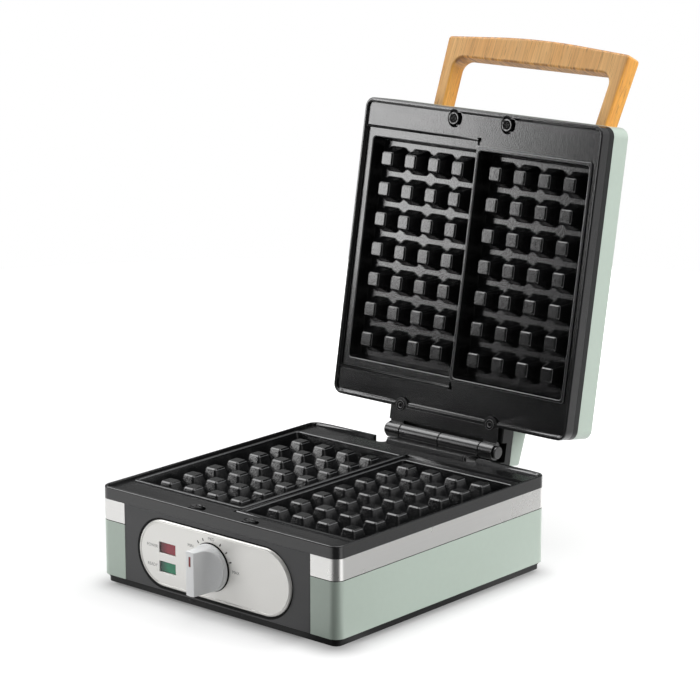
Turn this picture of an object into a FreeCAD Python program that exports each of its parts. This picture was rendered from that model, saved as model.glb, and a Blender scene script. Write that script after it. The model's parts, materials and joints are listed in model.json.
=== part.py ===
import FreeCAD, Part
import Sketcher
import math
import os
import re

# A double waffle maker with its lid open, in millimetres.
# +Z is up, +Y is the back, and the origin is on the table under the middle of the base.
# Pieces of the lid are drawn closed, in a frame whose origin is on the hinge line, then swung open.

V = FreeCAD.Vector
NEAR = 0.01
doc = FreeCAD.newDocument("waffle_maker")
sheet = doc.addObject("Spreadsheet::Sheet", "sheet")

SIZES = {
    # base body
    "body_width": 250, "body_depth": 257, "corner_radius": 8.5, "skin": 2, "fit_gap": 0.2,
    "foot_height": 3, "foot_radius": 9, "foot_x": 98, "foot_y": 108, "foot_stem_radius": 2.5,
    "foot_stem": 4, "strip_height": 6.2, "strip_inset": 3, "pan_floor": 3, "pan_wall": 2, "pan_rise": 8,
    "vent_length": 46, "vent_width": 3, "vent_pitch": 9, "vent_count": 7, "wrap_height": 45.3,
    "seam": 0.6, "band_height": 17, "tongue_height": 6, "tongue_wall": 1.5, "ledge_width": 6,
    "ledge_height": 2,
    # front controls
    "panel_width": 196, "panel_face": 2.2, "panel_back": 2.3, "panel_overlap": 8, "fascia_width": 161,
    "fascia_height": 54.3, "fascia_thickness": 2, "fascia_bevel": 1, "control_height": 40.4,
    "knob_x": -2.5, "knob_radius": 19, "knob_flange": 5, "knob_gap": 1, "knob_round": 1.2,
    "grip_width": 9, "grip_length": 37.6, "grip_reach": 17.5, "grip_round": 1.6, "mark_width": 2.4,
    "mark_length": 9, "mark_depth": 0.6, "mark_from_end": 3, "spindle_radius": 3, "spindle_play": 0.05,
    "spindle_reach": 14, "bush_radius": 5, "case_width": 32, "case_depth": 22, "case_height": 22,
    "bracket_width": 46, "bracket_height": 26, "bracket_sheet": 1.4, "lamp_x": -49.5,
    "lamp_mid_height": 37.3, "lamp_pitch": 15.6, "lamp_width": 17.6, "lamp_height": 8.8,
    "lens_proud": 0.4, "lens_flange": 1.5, "bulb_radius": 2.6, "bulb_length": 10, "holder_sheet": 2,
    # grill plates, measured down from the lip plane
    "rim_height": 10.1, "lip_width": 2.7, "lip_height": 2.3, "deck": 4, "skirt_wall": 3,
    "cavity_width": 113.5, "cavity_length": 191.6, "cavity_depth": 17, "cavity_draft": 12, "bridge": 3.4,
    "cast_floor": 3.5, "cast_wall": 3, "ring_width": 2.6, "ring_height": 1.4, "recess_margin": 7.2,
    "recess_depth": 1.6, "stud_columns": 4, "stud_rows": 7, "stud_pitch_x": 25.5, "stud_pitch_y": 26,
    "stud_base": 20.4, "stud_first_x": 19.9, "stud_top_drop": 1.9, "stud_draft": 18, "stud_cap": 0.9,
    "stud_cap_draft": 48, "screw_x": 28, "screw_inset": 9, "well_radius": 7.6, "well_wall": 1.1,
    "well_depth": 7, "well_floor": 2.4, "boss_radius": 5.2, "head_radius": 3.6, "head_height": 2.4,
    "head_sunk": 0.6, "shank_radius": 2, "screw_bite": 11, "drive_radius": 2.2, "drive_width": 0.9,
    "drive_depth": 1.2, "hole_spare": 1, "notch_x": 48, "notch_radius": 7.2, "notch_inset": 1.2,
    "bead_width": 2.2, "bead_height": 0.7, "spill_width": 4.6, "spill_length": 6.4, "spill_depth": 3,
    # heating and wiring inside
    "tube_radius": 3.25, "coil_radius": 29, "coil_run": 116, "lead_out": 44, "tray_width": 226,
    "tray_depth": 188, "tray_sheet": 1, "tray_height": 10, "clip_width": 8, "clip_span": 13,
    "clip_foot": 1.2, "post_radius": 3.8, "rear_post_x": 48, "rear_post_y": 108, "pan_boss_radius": 7,
    "pan_boss_height": 3, "terminal_y": 78, "terminal_width": 40, "terminal_depth": 17,
    "terminal_height": 15, "terminal_hole": 2, "terminal_pitch": 11, "lead_radius": 1.5, "lead_bend": 12,
    "lead_rise_y": -111, "fuse_radius": 2.5, "fuse_length": 18, "gland_x": -84, "gland_height": 30,
    "gland_radius": 7.5, "gland_reach": 13, "gland_neck": 5.5, "cord_radius": 3.5, "gland_nut": 4,
    # hinge
    "hinge_back": 20.6, "hinge_rise": 1, "lip_under_axis": 0.6, "open_angle": 100, "barrel_radius": 7,
    "pin_radius": 3, "pin_play": 0.05, "barrel_half": 42, "knuckle_start": 43, "knuckle_end": 57,
    "cap_radius": 5.4, "cap_length": 2.6, "barrel_groove": 0.7, "barrel_groove_width": 1.4,
    "block_bottom": 30, "block_depth": 18, "block_top_drop": 3.2, "web_back": 1.1, "ledge_back": 16.4,
    "ledge_heel": 9, "stop_gap": 0.4, "block_screw_x": 30, "block_screw_height": 44, "leaf_sheet": 2.6,
    "leaf_reach": 9.5, "lug_radius": 6.6, "hinge_head_radius": 4.2, "hinge_head_height": 2.2,
    # lid
    "frame_height": 6, "frame_wall": 6, "lid_seam": 0.2, "shell_height": 20.6, "shell_round": 1.5,
    "tail_half": 61, "tail_reach": 11.5, "tail_drop": 3, "tail_clear": 1.2, "tail_shell_end": 12.4,
    "tail_shell_root": 18.5, "tail_wall": 2.5, "tail_overlap": 6,
    # handle
    "handle_rise": 49.4, "handle_tilt": 15, "handle_half_foot": 91.6, "handle_half_top": 95.6,
    "handle_arm": 10.8, "handle_reach": 62, "handle_crown": 6.3, "handle_bar": 17.4, "handle_depth": 17.5,
    "handle_tail": 44, "handle_outer_round": 3, "handle_inner_round": 10, "handle_edge": 2.4,
    "mount_width": 12, "mount_length": 42, "mount_setback": 4, "mount_screw_near": 10,
    "mount_screw_far": 30, "mount_bite": 7, "handle_crown_round": 720, "handle_arm_swell": 1,
}
for row, (alias, value) in enumerate(SIZES.items(), start=1):
    sheet.set(f"A{row}", alias)
    sheet.set(f"B{row}", str(value))
    sheet.setAlias(f"B{row}", alias)
doc.recompute()

# Places worked out from the sizes. Each may use sizes and the places above it.
PLACES = {
    "strip_top": "foot_height + strip_height",
    "wrap_top": "strip_top + wrap_height",
    "band_bottom": "wrap_top + seam",
    "band_top": "band_bottom + band_height",
    "lip_top": "band_top + rim_height",
    "front": "-body_depth / 2",
    "back": "body_depth / 2",
    "panel_inside": "front + panel_face + panel_back",
    "fascia_front": "front - fascia_thickness",
    "knob_back": "fascia_front - knob_gap",
    "knob_front": "knob_back - knob_flange - grip_reach",
    "case_front": "panel_inside + bracket_sheet",
    "deck_under": "lip_height + deck",
    "cast_under": "cavity_depth + cast_floor",
    "cavity_x": "(cavity_width + bridge) / 2",
    "well_under": "well_depth + well_floor",
    "screw_y": "front + screw_inset",
    "floor_top": "foot_height + pan_floor",
    "post_bottom": "floor_top + pan_boss_height",
    "hinge_y": "back + hinge_back",
    "hinge_z": "lip_top + hinge_rise",
    "lid_back": "-hinge_back",
    "lid_middle": "-hinge_back - body_depth / 2",
    "lid_front": "-hinge_back - body_depth",
    "frame_bottom": "rim_height + lid_seam - lip_under_axis",
    "shell_bottom": "frame_bottom + frame_height + lid_seam",
    "shell_top": "shell_bottom + shell_height",
    "shell_inside": "shell_top - skin",
    "tail_bottom": "tail_drop - lip_under_axis",
    "swing_clear": "barrel_radius + tail_clear",
}


def bound(text):
    """The expression with each place spelled out and each size read from the sheet."""
    text = str(text)
    for place in reversed(list(PLACES)):
        text = re.sub(rf"\b{place}\b", f"({PLACES[place]})", text)
    return re.sub(r"\b[a-z][a-z_]+\b", lambda word: "sheet." + word[0] if word[0] in SIZES else word[0],
                  text)


def size(text):
    """The value of an expression, in millimetres or degrees."""
    return float(sheet.evalExpression(bound(text)))


def bind(item, **properties):
    for name, text in properties.items():
        item.setExpression(name, bound(text))


def put(item, x, y, z):
    for axis, text in zip("xyz", (x, y, z)):
        item.setExpression(f"Placement.Base.{axis}", bound(text))
    return item


# Part primitives and booleans
TURNS = {
    "X": FreeCAD.Rotation(V(0, 1, 0), 90),
    "Y": FreeCAD.Rotation(V(1, 0, 0), -90),
    "Z": FreeCAD.Rotation(),
}


def block(name, spans, corner):
    item = doc.addObject("Part::Box", name)
    bind(item, Length=spans[0], Width=spans[1], Height=spans[2])
    return put(item, *corner)


def rod(name, radius, length, start, along="Z"):
    item = doc.addObject("Part::Cylinder", name)
    bind(item, Radius=radius, Height=length)
    item.Placement = FreeCAD.Placement(V(), TURNS[along])
    return put(item, *start)


def half_ring(name, ring, tube, centre, turn):
    item = doc.addObject("Part::Torus", name)
    bind(item, Radius1=ring, Radius2=tube)
    item.Angle3 = 180
    item.Placement = FreeCAD.Placement(V(), FreeCAD.Rotation(V(0, 0, 1), turn))
    return put(item, *centre)


def join(name, *pieces):
    item = doc.addObject("Part::MultiFuse", name)
    item.Shapes = list(pieces)
    item.Refine = True
    return item


def cut(name, base, *tools):
    item = doc.addObject("Part::Cut", name)
    item.Base = base
    item.Tool = tools[0] if len(tools) == 1 else join(name + "_tools", *tools)
    return item


def group(name, *pieces):
    item = doc.addObject("Part::Compound", name)
    item.Links = list(pieces)
    return item


# Bodies, sketches and features
def new_body(name):
    return doc.addObject("PartDesign::Body", name)


def new_sketch(body, name, plane="XY", level="0", x="0", y="0"):
    sketch = body.newObject("Sketcher::SketchObject", name)
    origin = next(item for item in body.Origin.OriginFeatures if item.Role == plane + "_Plane")
    sketch.AttachmentSupport = [(origin, "")]
    sketch.MapMode = "FlatFace"
    for axis, text in zip("xyz", (x, y, level)):
        sketch.setExpression(f"AttachmentOffset.Base.{axis}", bound(text))
    return sketch


def hold(sketch, kind, text, *where):
    number = sketch.addConstraint(Sketcher.Constraint(kind, *where, size(text)))
    sketch.setExpression(f"Constraints[{number}]", bound(text))


def outline(sketch, corners):
    """A closed outline through corners (x, y) or (x, y, rounding), anticlockwise."""
    spots = [V(size(corner[0]), size(corner[1]), 0) for corner in corners]
    count = len(spots)
    ends = []
    for i, corner in enumerate(corners):
        into = (spots[i] - spots[i - 1]).normalize()
        out = (spots[(i + 1) % count] - spots[i]).normalize()
        back = size(corner[2]) * math.tan(into.getAngle(out) / 2) if len(corner) == 3 else 0
        ends.append((spots[i] - into * back, spots[i] + out * back, into, out))
    lines = []
    for i in range(count):
        lines.append(sketch.addGeometry(Part.LineSegment(ends[i][1], ends[(i + 1) % count][0])))
    for i, corner in enumerate(corners):
        before, after = lines[i - 1], lines[i]
        if len(corner) == 2:
            sketch.addConstraint(Sketcher.Constraint("Coincident", before, 2, after, 1))
            hold(sketch, "DistanceX", corner[0], -1, 1, after, 1)
            hold(sketch, "DistanceY", corner[1], -1, 1, after, 1)
            continue
        start, end, into, out = ends[i]
        left_turn = into.x * out.y - into.y * out.x > 0
        side = V(-into.y, into.x, 0) * (size(corner[2]) if left_turn else -size(corner[2]))
        centre = start + side
        first, last = (start, end) if left_turn else (end, start)
        angles = [math.atan2(point.y - centre.y, point.x - centre.x) for point in (first, last)]
        ring = Part.Circle(centre, V(0, 0, 1), size(corner[2]))
        arc = sketch.addGeometry(Part.ArcOfCircle(ring, angles[0], angles[1]))
        at_start, at_end = (1, 2) if left_turn else (2, 1)
        sketch.addConstraint(Sketcher.Constraint("Tangent", before, 2, arc, at_start))
        sketch.addConstraint(Sketcher.Constraint("Tangent", after, 1, arc, at_end))
        hold(sketch, "Radius", corner[2], arc)
        point = sketch.addGeometry(Part.Point(spots[i]), True)
        hold(sketch, "DistanceX", corner[0], -1, 1, point, 1)
        hold(sketch, "DistanceY", corner[1], -1, 1, point, 1)
        sketch.addConstraint(Sketcher.Constraint("PointOnObject", point, 1, before))
        sketch.addConstraint(Sketcher.Constraint("PointOnObject", point, 1, after))


def rectangle(sketch, width, height, rounding=None, x="0", y="0"):
    tail = () if rounding is None else (rounding,)
    corners = []
    for sx, sy in ((-1, -1), (1, -1), (1, 1), (-1, 1)):
        corners.append((f"{x} + {sx} * ({width}) / 2", f"{y} + {sy} * ({height}) / 2") + tail)
    outline(sketch, corners)


def circle(sketch, radius, x="0", y="0"):
    ring = sketch.addGeometry(Part.Circle(V(size(x), size(y), 0), V(0, 0, 1), size(radius)))
    hold(sketch, "Radius", radius, ring)
    hold(sketch, "DistanceX", x, -1, 1, ring, 3)
    hold(sketch, "DistanceY", y, -1, 1, ring, 3)


def pill(sketch, width, height):
    """A slot outline about the sketch's origin."""
    radius, middle = f"({height}) / 2", f"({width} - {height}) / 2"
    r, m = size(radius), size(middle)
    right = sketch.addGeometry(Part.ArcOfCircle(Part.Circle(V(m, 0, 0), V(0, 0, 1), r), -math.pi / 2,
                                                math.pi / 2))
    left = sketch.addGeometry(Part.ArcOfCircle(Part.Circle(V(-m, 0, 0), V(0, 0, 1), r), math.pi / 2,
                                               1.5 * math.pi))
    top = sketch.addGeometry(Part.LineSegment(V(m, r, 0), V(-m, r, 0)))
    bottom = sketch.addGeometry(Part.LineSegment(V(-m, -r, 0), V(m, -r, 0)))
    for line, arc, line_end, arc_end in ((top, right, 1, 2), (top, left, 2, 1), (bottom, left, 1, 2),
                                         (bottom, right, 2, 1)):
        sketch.addConstraint(Sketcher.Constraint("Tangent", line, line_end, arc, arc_end))
    hold(sketch, "Radius", radius, right)
    for arc, text in ((right, middle), (left, f"-({middle})")):
        hold(sketch, "DistanceX", text, -1, 1, arc, 3)
        hold(sketch, "DistanceY", "0", -1, 1, arc, 3)


def feature(body, kind, sketch, length, draft=None, reverse=False, both=False):
    item = body.newObject("PartDesign::" + kind, sketch.Name + "_" + kind.lower())
    item.Profile = sketch
    bind(item, Length=length)
    if draft is not None:
        bind(item, TaperAngle=draft)
    item.Reversed = reverse
    if both:
        item.SideType = "Symmetric"
    doc.recompute()
    return item


def pad(body, sketch, length, **options):
    return feature(body, "Pad", sketch, length, **options)


def pocket(body, sketch, length, **options):
    return feature(body, "Pocket", sketch, length, **options)


def dress(body, kind, base, edges, **sizes):
    """A fillet or chamfer on the edges that a test picks from the base feature."""
    item = body.newObject("PartDesign::" + kind, base.Name + "_" + kind.lower())
    picked = [f"Edge{i + 1}" for i, edge in enumerate(base.Shape.Edges) if edges(edge)]
    item.Base = (base, picked)
    bind(item, **sizes)
    doc.recompute()
    return item


def at_level(axis, level):
    """Picks edges that lie wholly at one level along an axis."""
    low, high = axis + "Min", axis + "Max"
    value = size(level)
    return lambda edge: max(abs(getattr(edge.BoundBox, side) - value) for side in (low, high)) < NEAR


def hang(item):
    """Swings a lid piece from its closed drawing to the open rest place."""
    item.Placement = FreeCAD.Placement(V(), FreeCAD.Rotation(V(1, 0, 0), -size("open_angle")))
    item.setExpression("Placement.Rotation.Angle", bound("-open_angle") + " * 1deg")
    return put(item, "0", "hinge_y", "hinge_z")


nodes = []


def keep(item, label):
    item.Label = label
    nodes.append(item)
    return item


# Base: pan, feet, wrap and band
def rounded_tube(body, name, level, length, inset, wall):
    sketch = new_sketch(body, name, level=level)
    for depth in (inset, f"{inset} + {wall}"):
        spans = [f"{side} - 2 * ({depth})" for side in ("body_width", "body_depth")]
        rectangle(sketch, *spans, f"corner_radius - ({depth})")
    return pad(body, sketch, length)


POSTS = [(f"{side} * screw_x", "screw_y") for side in (-1, 1)]
POSTS += [(f"{side} * rear_post_x", "rear_post_y") for side in (-1, 1)]


def base_pan():
    body = new_body("pan")
    floor = new_sketch(body, "pan_floor_outline", level="foot_height")
    rectangle(floor, "body_width - 2 * strip_inset", "body_depth - 2 * strip_inset",
              "corner_radius - strip_inset")
    pad(body, floor, "strip_height")
    well = new_sketch(body, "pan_well", level="strip_top")
    inset = "2 * (strip_inset + pan_wall)"
    rectangle(well, f"body_width - {inset}", f"body_depth - {inset}",
              "corner_radius - strip_inset - pan_wall")
    pocket(body, well, "strip_height - pan_floor")
    rounded_tube(body, "pan_rim", "strip_top - pan_wall", "pan_rise + pan_wall", "skin + fit_gap",
                 "pan_wall + strip_inset - skin - fit_gap")
    bosses = new_sketch(body, "pan_bosses", level="floor_top")
    for x, y in POSTS:
        circle(bosses, "pan_boss_radius", x, y)
    pad(body, bosses, "pan_boss_height")
    heads = new_sketch(body, "pan_head_wells", level="foot_height")
    holes = new_sketch(body, "pan_screw_holes", level="foot_height")
    stems = new_sketch(body, "pan_stem_holes", level="foot_height")
    for x, y in POSTS:
        circle(heads, "head_radius + 2 * fit_gap", x, y)
        circle(holes, "shank_radius + fit_gap", x, y)
    for sx in (-1, 1):
        for sy in (-1, 1):
            circle(stems, "foot_stem_radius + spindle_play", f"{sx} * foot_x", f"{sy} * foot_y")
    pocket(body, heads, "head_height + head_sunk", reverse=True)
    pocket(body, holes, "pan_floor + pan_boss_height", reverse=True)
    pocket(body, stems, "pan_floor", reverse=True)
    vents = new_sketch(body, "pan_vent", level="floor_top", x="-vent_pitch * (vent_count - 1) / 2")
    rectangle(vents, "vent_width", "vent_length")
    slot = pocket(body, vents, "pan_floor")
    row = body.newObject("PartDesign::LinearPattern", "pan_vents")
    row.Originals = [slot]
    row.Direction = (vents, ["H_Axis"])
    bind(row, Length="vent_pitch * (vent_count - 1)", Occurrences="vent_count")
    body.Tip = row
    return keep(body, "base_pan")


def foot_pads():
    feet = []
    for sx in (-1, 1):
        for sy in (-1, 1):
            at = (f"{sx} * foot_x", f"{sy} * foot_y")
            tag = f"{sx}{sy}".replace("-", "m")
            disc = rod("foot_disc_" + tag, "foot_radius", "foot_height", (*at, "0"))
            stem = rod("foot_stem_" + tag, "foot_stem_radius", "foot_height + foot_stem", (*at, "0"))
            feet.append(join("foot_" + tag, disc, stem))
    return keep(group("feet", *feet), "foot_pads")


def front_window(body, name, width, level, length):
    sketch = new_sketch(body, name, level=level)
    rectangle(sketch, width, "4 * skin + 2 * ledge_width", y="front")
    pocket(body, sketch, length)


def lower_wrap():
    body = new_body("wrap")
    rounded_tube(body, "wrap_wall", "strip_top", "wrap_height", "0", "skin")
    front_window(body, "wrap_window", "panel_width + 2 * fit_gap", "wrap_top", "wrap_height")
    holes = new_sketch(body, "wrap_rear_holes", plane="XZ", level="-back")
    for side in (-1, 1):
        circle(holes, "shank_radius + fit_gap", f"{side} * block_screw_x", "block_screw_height")
    circle(holes, "gland_neck + fit_gap", "gland_x", "gland_height")
    pocket(body, holes, "2 * skin", reverse=True)
    return keep(body, "lower_wrap")


def trim_band():
    body = new_body("band")
    rounded_tube(body, "band_tongue", "band_bottom - tongue_height", "tongue_height + tongue_wall",
                 "skin + fit_gap", "tongue_wall")
    rounded_tube(body, "band_step", "band_bottom", "tongue_wall", "skin / 2",
                 "skin / 2 + fit_gap + tongue_wall")
    front_window(body, "band_tongue_window", "panel_width + 2 * panel_overlap + 4 * fit_gap",
                 "band_bottom + tongue_wall",
                 "tongue_height + tongue_wall")
    rounded_tube(body, "band_wall", "band_bottom", "band_height", "0", "skin")
    rounded_tube(body, "band_ledge", "band_top - ledge_height", "ledge_height", "skin / 2",
                 "ledge_width - skin / 2")
    front_window(body, "band_window", "panel_width + 2 * fit_gap", "band_top",
                 "band_height + tongue_height")
    sketch = new_sketch(body, "band_ledge_window", level="band_top")
    rectangle(sketch, "panel_width + 2 * panel_overlap + 4 * fit_gap", "2 * ledge_width",
              y="front + ledge_width + skin")
    pocket(body, sketch, "ledge_height")
    return keep(body, "trim_band")


# Front controls
LAMPS = {"power_lamp": "lamp_mid_height + lamp_pitch / 2", "ready_lamp": "lamp_mid_height - lamp_pitch / 2"}


def front_panel():
    body = new_body("panel")
    middle = "(strip_top + band_top) / 2"
    face = new_sketch(body, "panel_face_outline", plane="XZ", level="-front", y=middle)
    rectangle(face, "panel_width", "band_top - strip_top")
    pad(body, face, "panel_face", reverse=True)
    low, high = "strip_top + pan_rise + 2 * fit_gap", "band_top - ledge_height"
    back = new_sketch(body, "panel_back_outline", plane="XZ", level="-front - panel_face",
                      y=f"({low} + {high}) / 2")
    rectangle(back, "panel_width + 2 * panel_overlap", f"{high} - ({low})")
    pad(body, back, "panel_back", reverse=True)
    holes = new_sketch(body, "panel_holes", plane="XZ", level="-front")
    circle(holes, "bush_radius + fit_gap", "knob_x", "control_height")
    for height in LAMPS.values():
        rectangle(holes, "lamp_width", "lamp_height", x="lamp_x", y=height)
    pocket(body, holes, "panel_face + panel_back")
    return keep(body, "front_panel")


def control_fascia():
    body = new_body("fascia")
    face = new_sketch(body, "fascia_outline", plane="XZ", level="-front", y="control_height")
    pill(face, "fascia_width", "fascia_height")
    plate = pad(body, face, "fascia_thickness")
    dress(body, "Chamfer", plate, at_level("Y", "fascia_front"), Size="fascia_bevel")
    holes = new_sketch(body, "fascia_holes", plane="XZ", level="-fascia_front")
    circle(holes, "bush_radius + fit_gap", "knob_x", "control_height")
    for height in LAMPS.values():
        rectangle(holes, "lamp_width", "lamp_height", x="lamp_x", y=height)
    pocket(body, holes, "fascia_thickness")
    return keep(body, "control_fascia")


def lamps():
    bulbs = []
    for name, height in LAMPS.items():
        wide, tall = "(lamp_width - 2 * fit_gap)", "(lamp_height - 2 * fit_gap)"
        window = block(name + "_window", (wide, "panel_inside - fascia_front + lens_proud + lens_flange",
                                          tall),
                       (f"lamp_x - {wide} / 2", "fascia_front - lens_proud", f"{height} - {tall} / 2"))
        flange = block(name + "_flange", ("lamp_width + 2 * lens_flange", "lens_flange",
                                          "lamp_height + 2 * lens_flange"),
                       ("lamp_x - lamp_width / 2 - lens_flange", "panel_inside",
                        f"{height} - lamp_height / 2 - lens_flange"))
        keep(join(name + "_lens_solid", window, flange), name + "_lens")
        bulbs.append(rod(name + "_bulb", "bulb_radius", "bulb_length",
                         ("lamp_x", "panel_inside + lens_flange + fit_gap", height), "Y"))
    keep(group("bulbs", *bulbs), "lamp_bulbs")
    half = "(lamp_width / 2 + 2 * lens_flange)"
    tall = "lamp_pitch + lamp_height + 2 * lens_flange"
    low = f"lamp_mid_height - ({tall}) / 2"
    deep = "lens_flange + fit_gap + bulb_length"
    shelf = block("holder_shelf", (f"2 * {half} + 2 * holder_sheet", "holder_sheet", tall),
                  (f"lamp_x - {half} - holder_sheet", f"panel_inside + {deep}", low))
    legs = []
    for side, x in (("left", f"lamp_x - {half} - holder_sheet"), ("right", f"lamp_x + {half}")):
        legs.append(block("holder_leg_" + side, ("holder_sheet", f"{deep} + holder_sheet", tall),
                          (x, "panel_inside", low)))
    keep(join("holder", shelf, *legs), "lamp_holder")


def thermostat():
    axis = ("knob_x", "control_height")
    case = block("case_box", ("case_width", "case_depth", "case_height"),
                 ("knob_x - case_width / 2", "case_front", "control_height - case_height / 2"))
    bush = rod("case_bush", "bush_radius", "case_front - fascia_front + skin",
               (axis[0], "fascia_front", axis[1]), "Y")
    bore = rod("case_bore", "spindle_radius + spindle_play", "case_front - fascia_front + spindle_reach",
               (axis[0], "fascia_front - skin", axis[1]), "Y")
    keep(cut("case", join("case_solid", case, bush), bore), "thermostat_body")
    sheet_metal = block("bracket_plate", ("bracket_width", "bracket_sheet", "bracket_height"),
                        ("knob_x - bracket_width / 2", "panel_inside",
                         "control_height - bracket_height / 2"))
    hole = rod("bracket_hole", "bush_radius + fit_gap", "3 * bracket_sheet",
               (axis[0], "panel_inside - bracket_sheet", axis[1]), "Y")
    keep(cut("bracket", sheet_metal, hole), "thermostat_bracket")


# Knob: the pieces that turn with it
def temperature_knob():
    body = new_body("knob")
    disc = new_sketch(body, "knob_disc", plane="XZ", level="-knob_back", x="knob_x", y="control_height")
    circle(disc, "knob_radius")
    pad(body, disc, "knob_flange")
    grip = new_sketch(body, "knob_grip", plane="XZ", level="-knob_back + knob_flange", x="knob_x",
                      y="control_height")
    rectangle(grip, "grip_width", "grip_length", "grip_width / 4")
    bar = pad(body, grip, "grip_reach")
    front = at_level("Y", "knob_front")
    rim = at_level("Y", "knob_back - knob_flange")
    rounded = dress(body, "Fillet", bar, front, Radius="grip_round")
    least = size("grip_width")
    is_ring = lambda edge: edge.Curve.TypeId == "Part::GeomCircle" and edge.Curve.Radius > least
    dress(body, "Fillet", rounded, lambda edge: rim(edge) and is_ring(edge), Radius="knob_round")
    hole = new_sketch(body, "knob_socket", plane="XZ", level="-knob_back", x="knob_x", y="control_height")
    circle(hole, "spindle_radius + spindle_play")
    pocket(body, hole, "knob_flange + grip_reach / 2", reverse=True)
    slot = new_sketch(body, "knob_mark_slot", plane="XZ", level="-knob_front", x="knob_x",
                      y="control_height + grip_length / 2 - mark_from_end - mark_length / 2")
    rectangle(slot, "mark_width", "mark_length")
    pocket(body, slot, "mark_depth")
    return keep(body, "temperature_knob")


def knob_fittings():
    keep(block("mark", ("mark_width", "mark_depth", "mark_length"),
               ("knob_x - mark_width / 2", "knob_front",
                "control_height + grip_length / 2 - mark_from_end - mark_length")),
         "knob_pointer")
    tip = "(knob_back - knob_flange - grip_reach / 2)"
    keep(rod("spindle", "spindle_radius", f"case_front + spindle_reach - skin - fit_gap - {tip}",
             ("knob_x", tip, "control_height"), "Y"),
         "thermostat_spindle")


# Grill plates, drawn face up with the lip plane at zero
def grill_plate(name):
    body = new_body(name)
    deck = new_sketch(body, name + "_deck", level="-deck_under")
    rectangle(deck, "body_width", "body_depth", "corner_radius")
    pad(body, deck, "deck_under")
    inside = new_sketch(body, name + "_inside_lip")
    rectangle(inside, "body_width - 2 * lip_width", "body_depth - 2 * lip_width",
              "corner_radius - lip_width")
    pocket(body, inside, "lip_height")
    rounded_tube(body, name + "_skirt", "-rim_height", "rim_height - deck_under", "0", "skirt_wall")
    under = new_sketch(body, name + "_casting", level="-cast_under")
    spans = ("2 * (cavity_width + cast_wall) + bridge", "cavity_length + 2 * cast_wall")
    rectangle(under, *spans, "cast_wall")
    pad(body, under, "cast_under - deck_under")
    ring = new_sketch(body, name + "_ring", level="-lip_height")
    rectangle(ring, "cavity_width + 2 * ring_width", "cavity_length + 2 * ring_width", "ring_width",
              x="-cavity_x")
    pad(body, ring, "ring_height")
    recess = new_sketch(body, name + "_recess", level="-lip_height")
    outline(recess, [("ring_width - bridge / 2", "-cavity_length / 2 - recess_margin"),
                     ("body_width / 2 - lip_width", "-cavity_length / 2 - recess_margin"),
                     ("body_width / 2 - lip_width", "cavity_length / 2 + recess_margin"),
                     ("ring_width - bridge / 2", "cavity_length / 2 + recess_margin")])
    pocket(body, recess, "recess_depth")
    beads = new_sketch(body, name + "_beads", level="-lip_height")
    spills = new_sketch(body, name + "_spill_notches", level="-lip_height")
    inner, outer = "(ring_width - bridge / 2)", "(body_width / 2 - lip_width)"
    for side in (-1, 1):
        edge = "cavity_length / 2 + recess_margin"
        rectangle(beads, f"{outer} - {inner}", "bead_width", x=f"({inner} + {outer}) / 2",
                  y=f"{side} * ({edge} + bead_width / 2)")
        rectangle(spills, "spill_width", "spill_length", y=f"{side} * ({edge})")
    pad(body, beads, "bead_height")
    pocket(body, spills, "spill_depth")
    for side, level in ((-1, "lip_height - ring_height"), (1, "lip_height + recess_depth")):
        cavity = new_sketch(body, f"{name}_cavity_{'left' if side < 0 else 'right'}", level=f"-({level})")
        rectangle(cavity, "cavity_width", "cavity_length", "cast_wall", x=f"{side} * cavity_x")
        pocket(body, cavity, f"cavity_depth - ({level})", draft="-cavity_draft")
    seats = new_sketch(body, name + "_well_seats", level="-well_under")
    wells = new_sketch(body, name + "_wells")
    bosses = new_sketch(body, name + "_bosses", level="-well_depth")
    sinks = new_sketch(body, name + "_sinks")
    holes = new_sketch(body, name + "_screw_holes")
    notches = new_sketch(body, name + "_notches")
    for side in (-1, 1):
        at = (f"{side} * screw_x", "screw_y")
        for sketch, radius in ((seats, "well_radius + well_wall"), (wells, "well_radius"),
                               (bosses, "boss_radius"),
                               (sinks, "head_radius + fit_gap"), (holes, "shank_radius + fit_gap")):
            circle(sketch, radius, *at)
        circle(notches, "notch_radius", f"{side} * notch_x", "back - notch_inset")
    pad(body, seats, "well_under - deck_under")
    pocket(body, wells, "well_depth")
    pad(body, bosses, "well_depth")
    pocket(body, sinks, "head_height + head_sunk")
    pocket(body, holes, "well_under")
    pocket(body, notches, "rim_height")
    return body


def grill_studs(name):
    """The studs that stand on the two mould floors, each a solid of its own."""
    body = new_body(name)
    body.AllowCompound = True
    tall = "(cavity_depth - stud_top_drop - stud_cap)"
    first = ("stud_first_x", "-stud_pitch_y * (stud_rows - 1) / 2")
    foot = new_sketch(body, name + "_foot", level="-cavity_depth", x=first[0], y=first[1])
    rectangle(foot, "stud_base", "stud_base")
    trunk = pad(body, foot, tall, draft="-stud_draft")
    cap = new_sketch(body, name + "_cap", level="-stud_top_drop - stud_cap", x=first[0], y=first[1])
    rectangle(cap, *(f"stud_base - 2 * {tall} * tan(stud_draft)",) * 2)
    top = pad(body, cap, "stud_cap", draft="-stud_cap_draft")
    spread = body.newObject("PartDesign::MultiTransform", name + "_spread")
    spread.Originals = [trunk, top]
    columns = body.newObject("PartDesign::LinearPattern", name + "_columns")
    columns.Direction = (foot, ["H_Axis"])
    bind(columns, Length="stud_pitch_x * (stud_columns - 1)", Occurrences="stud_columns")
    rows = body.newObject("PartDesign::LinearPattern", name + "_rows")
    rows.Direction = (foot, ["V_Axis"])
    bind(rows, Length="stud_pitch_y * (stud_rows - 1)", Occurrences="stud_rows")
    pair = body.newObject("PartDesign::Mirrored", name + "_pair")
    middle = next(item for item in body.Origin.OriginFeatures if item.Role == "YZ_Plane")
    pair.MirrorPlane = (middle, [""])
    spread.Transformations = [columns, rows, pair]
    body.Tip = spread
    doc.recompute()
    return body


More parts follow.
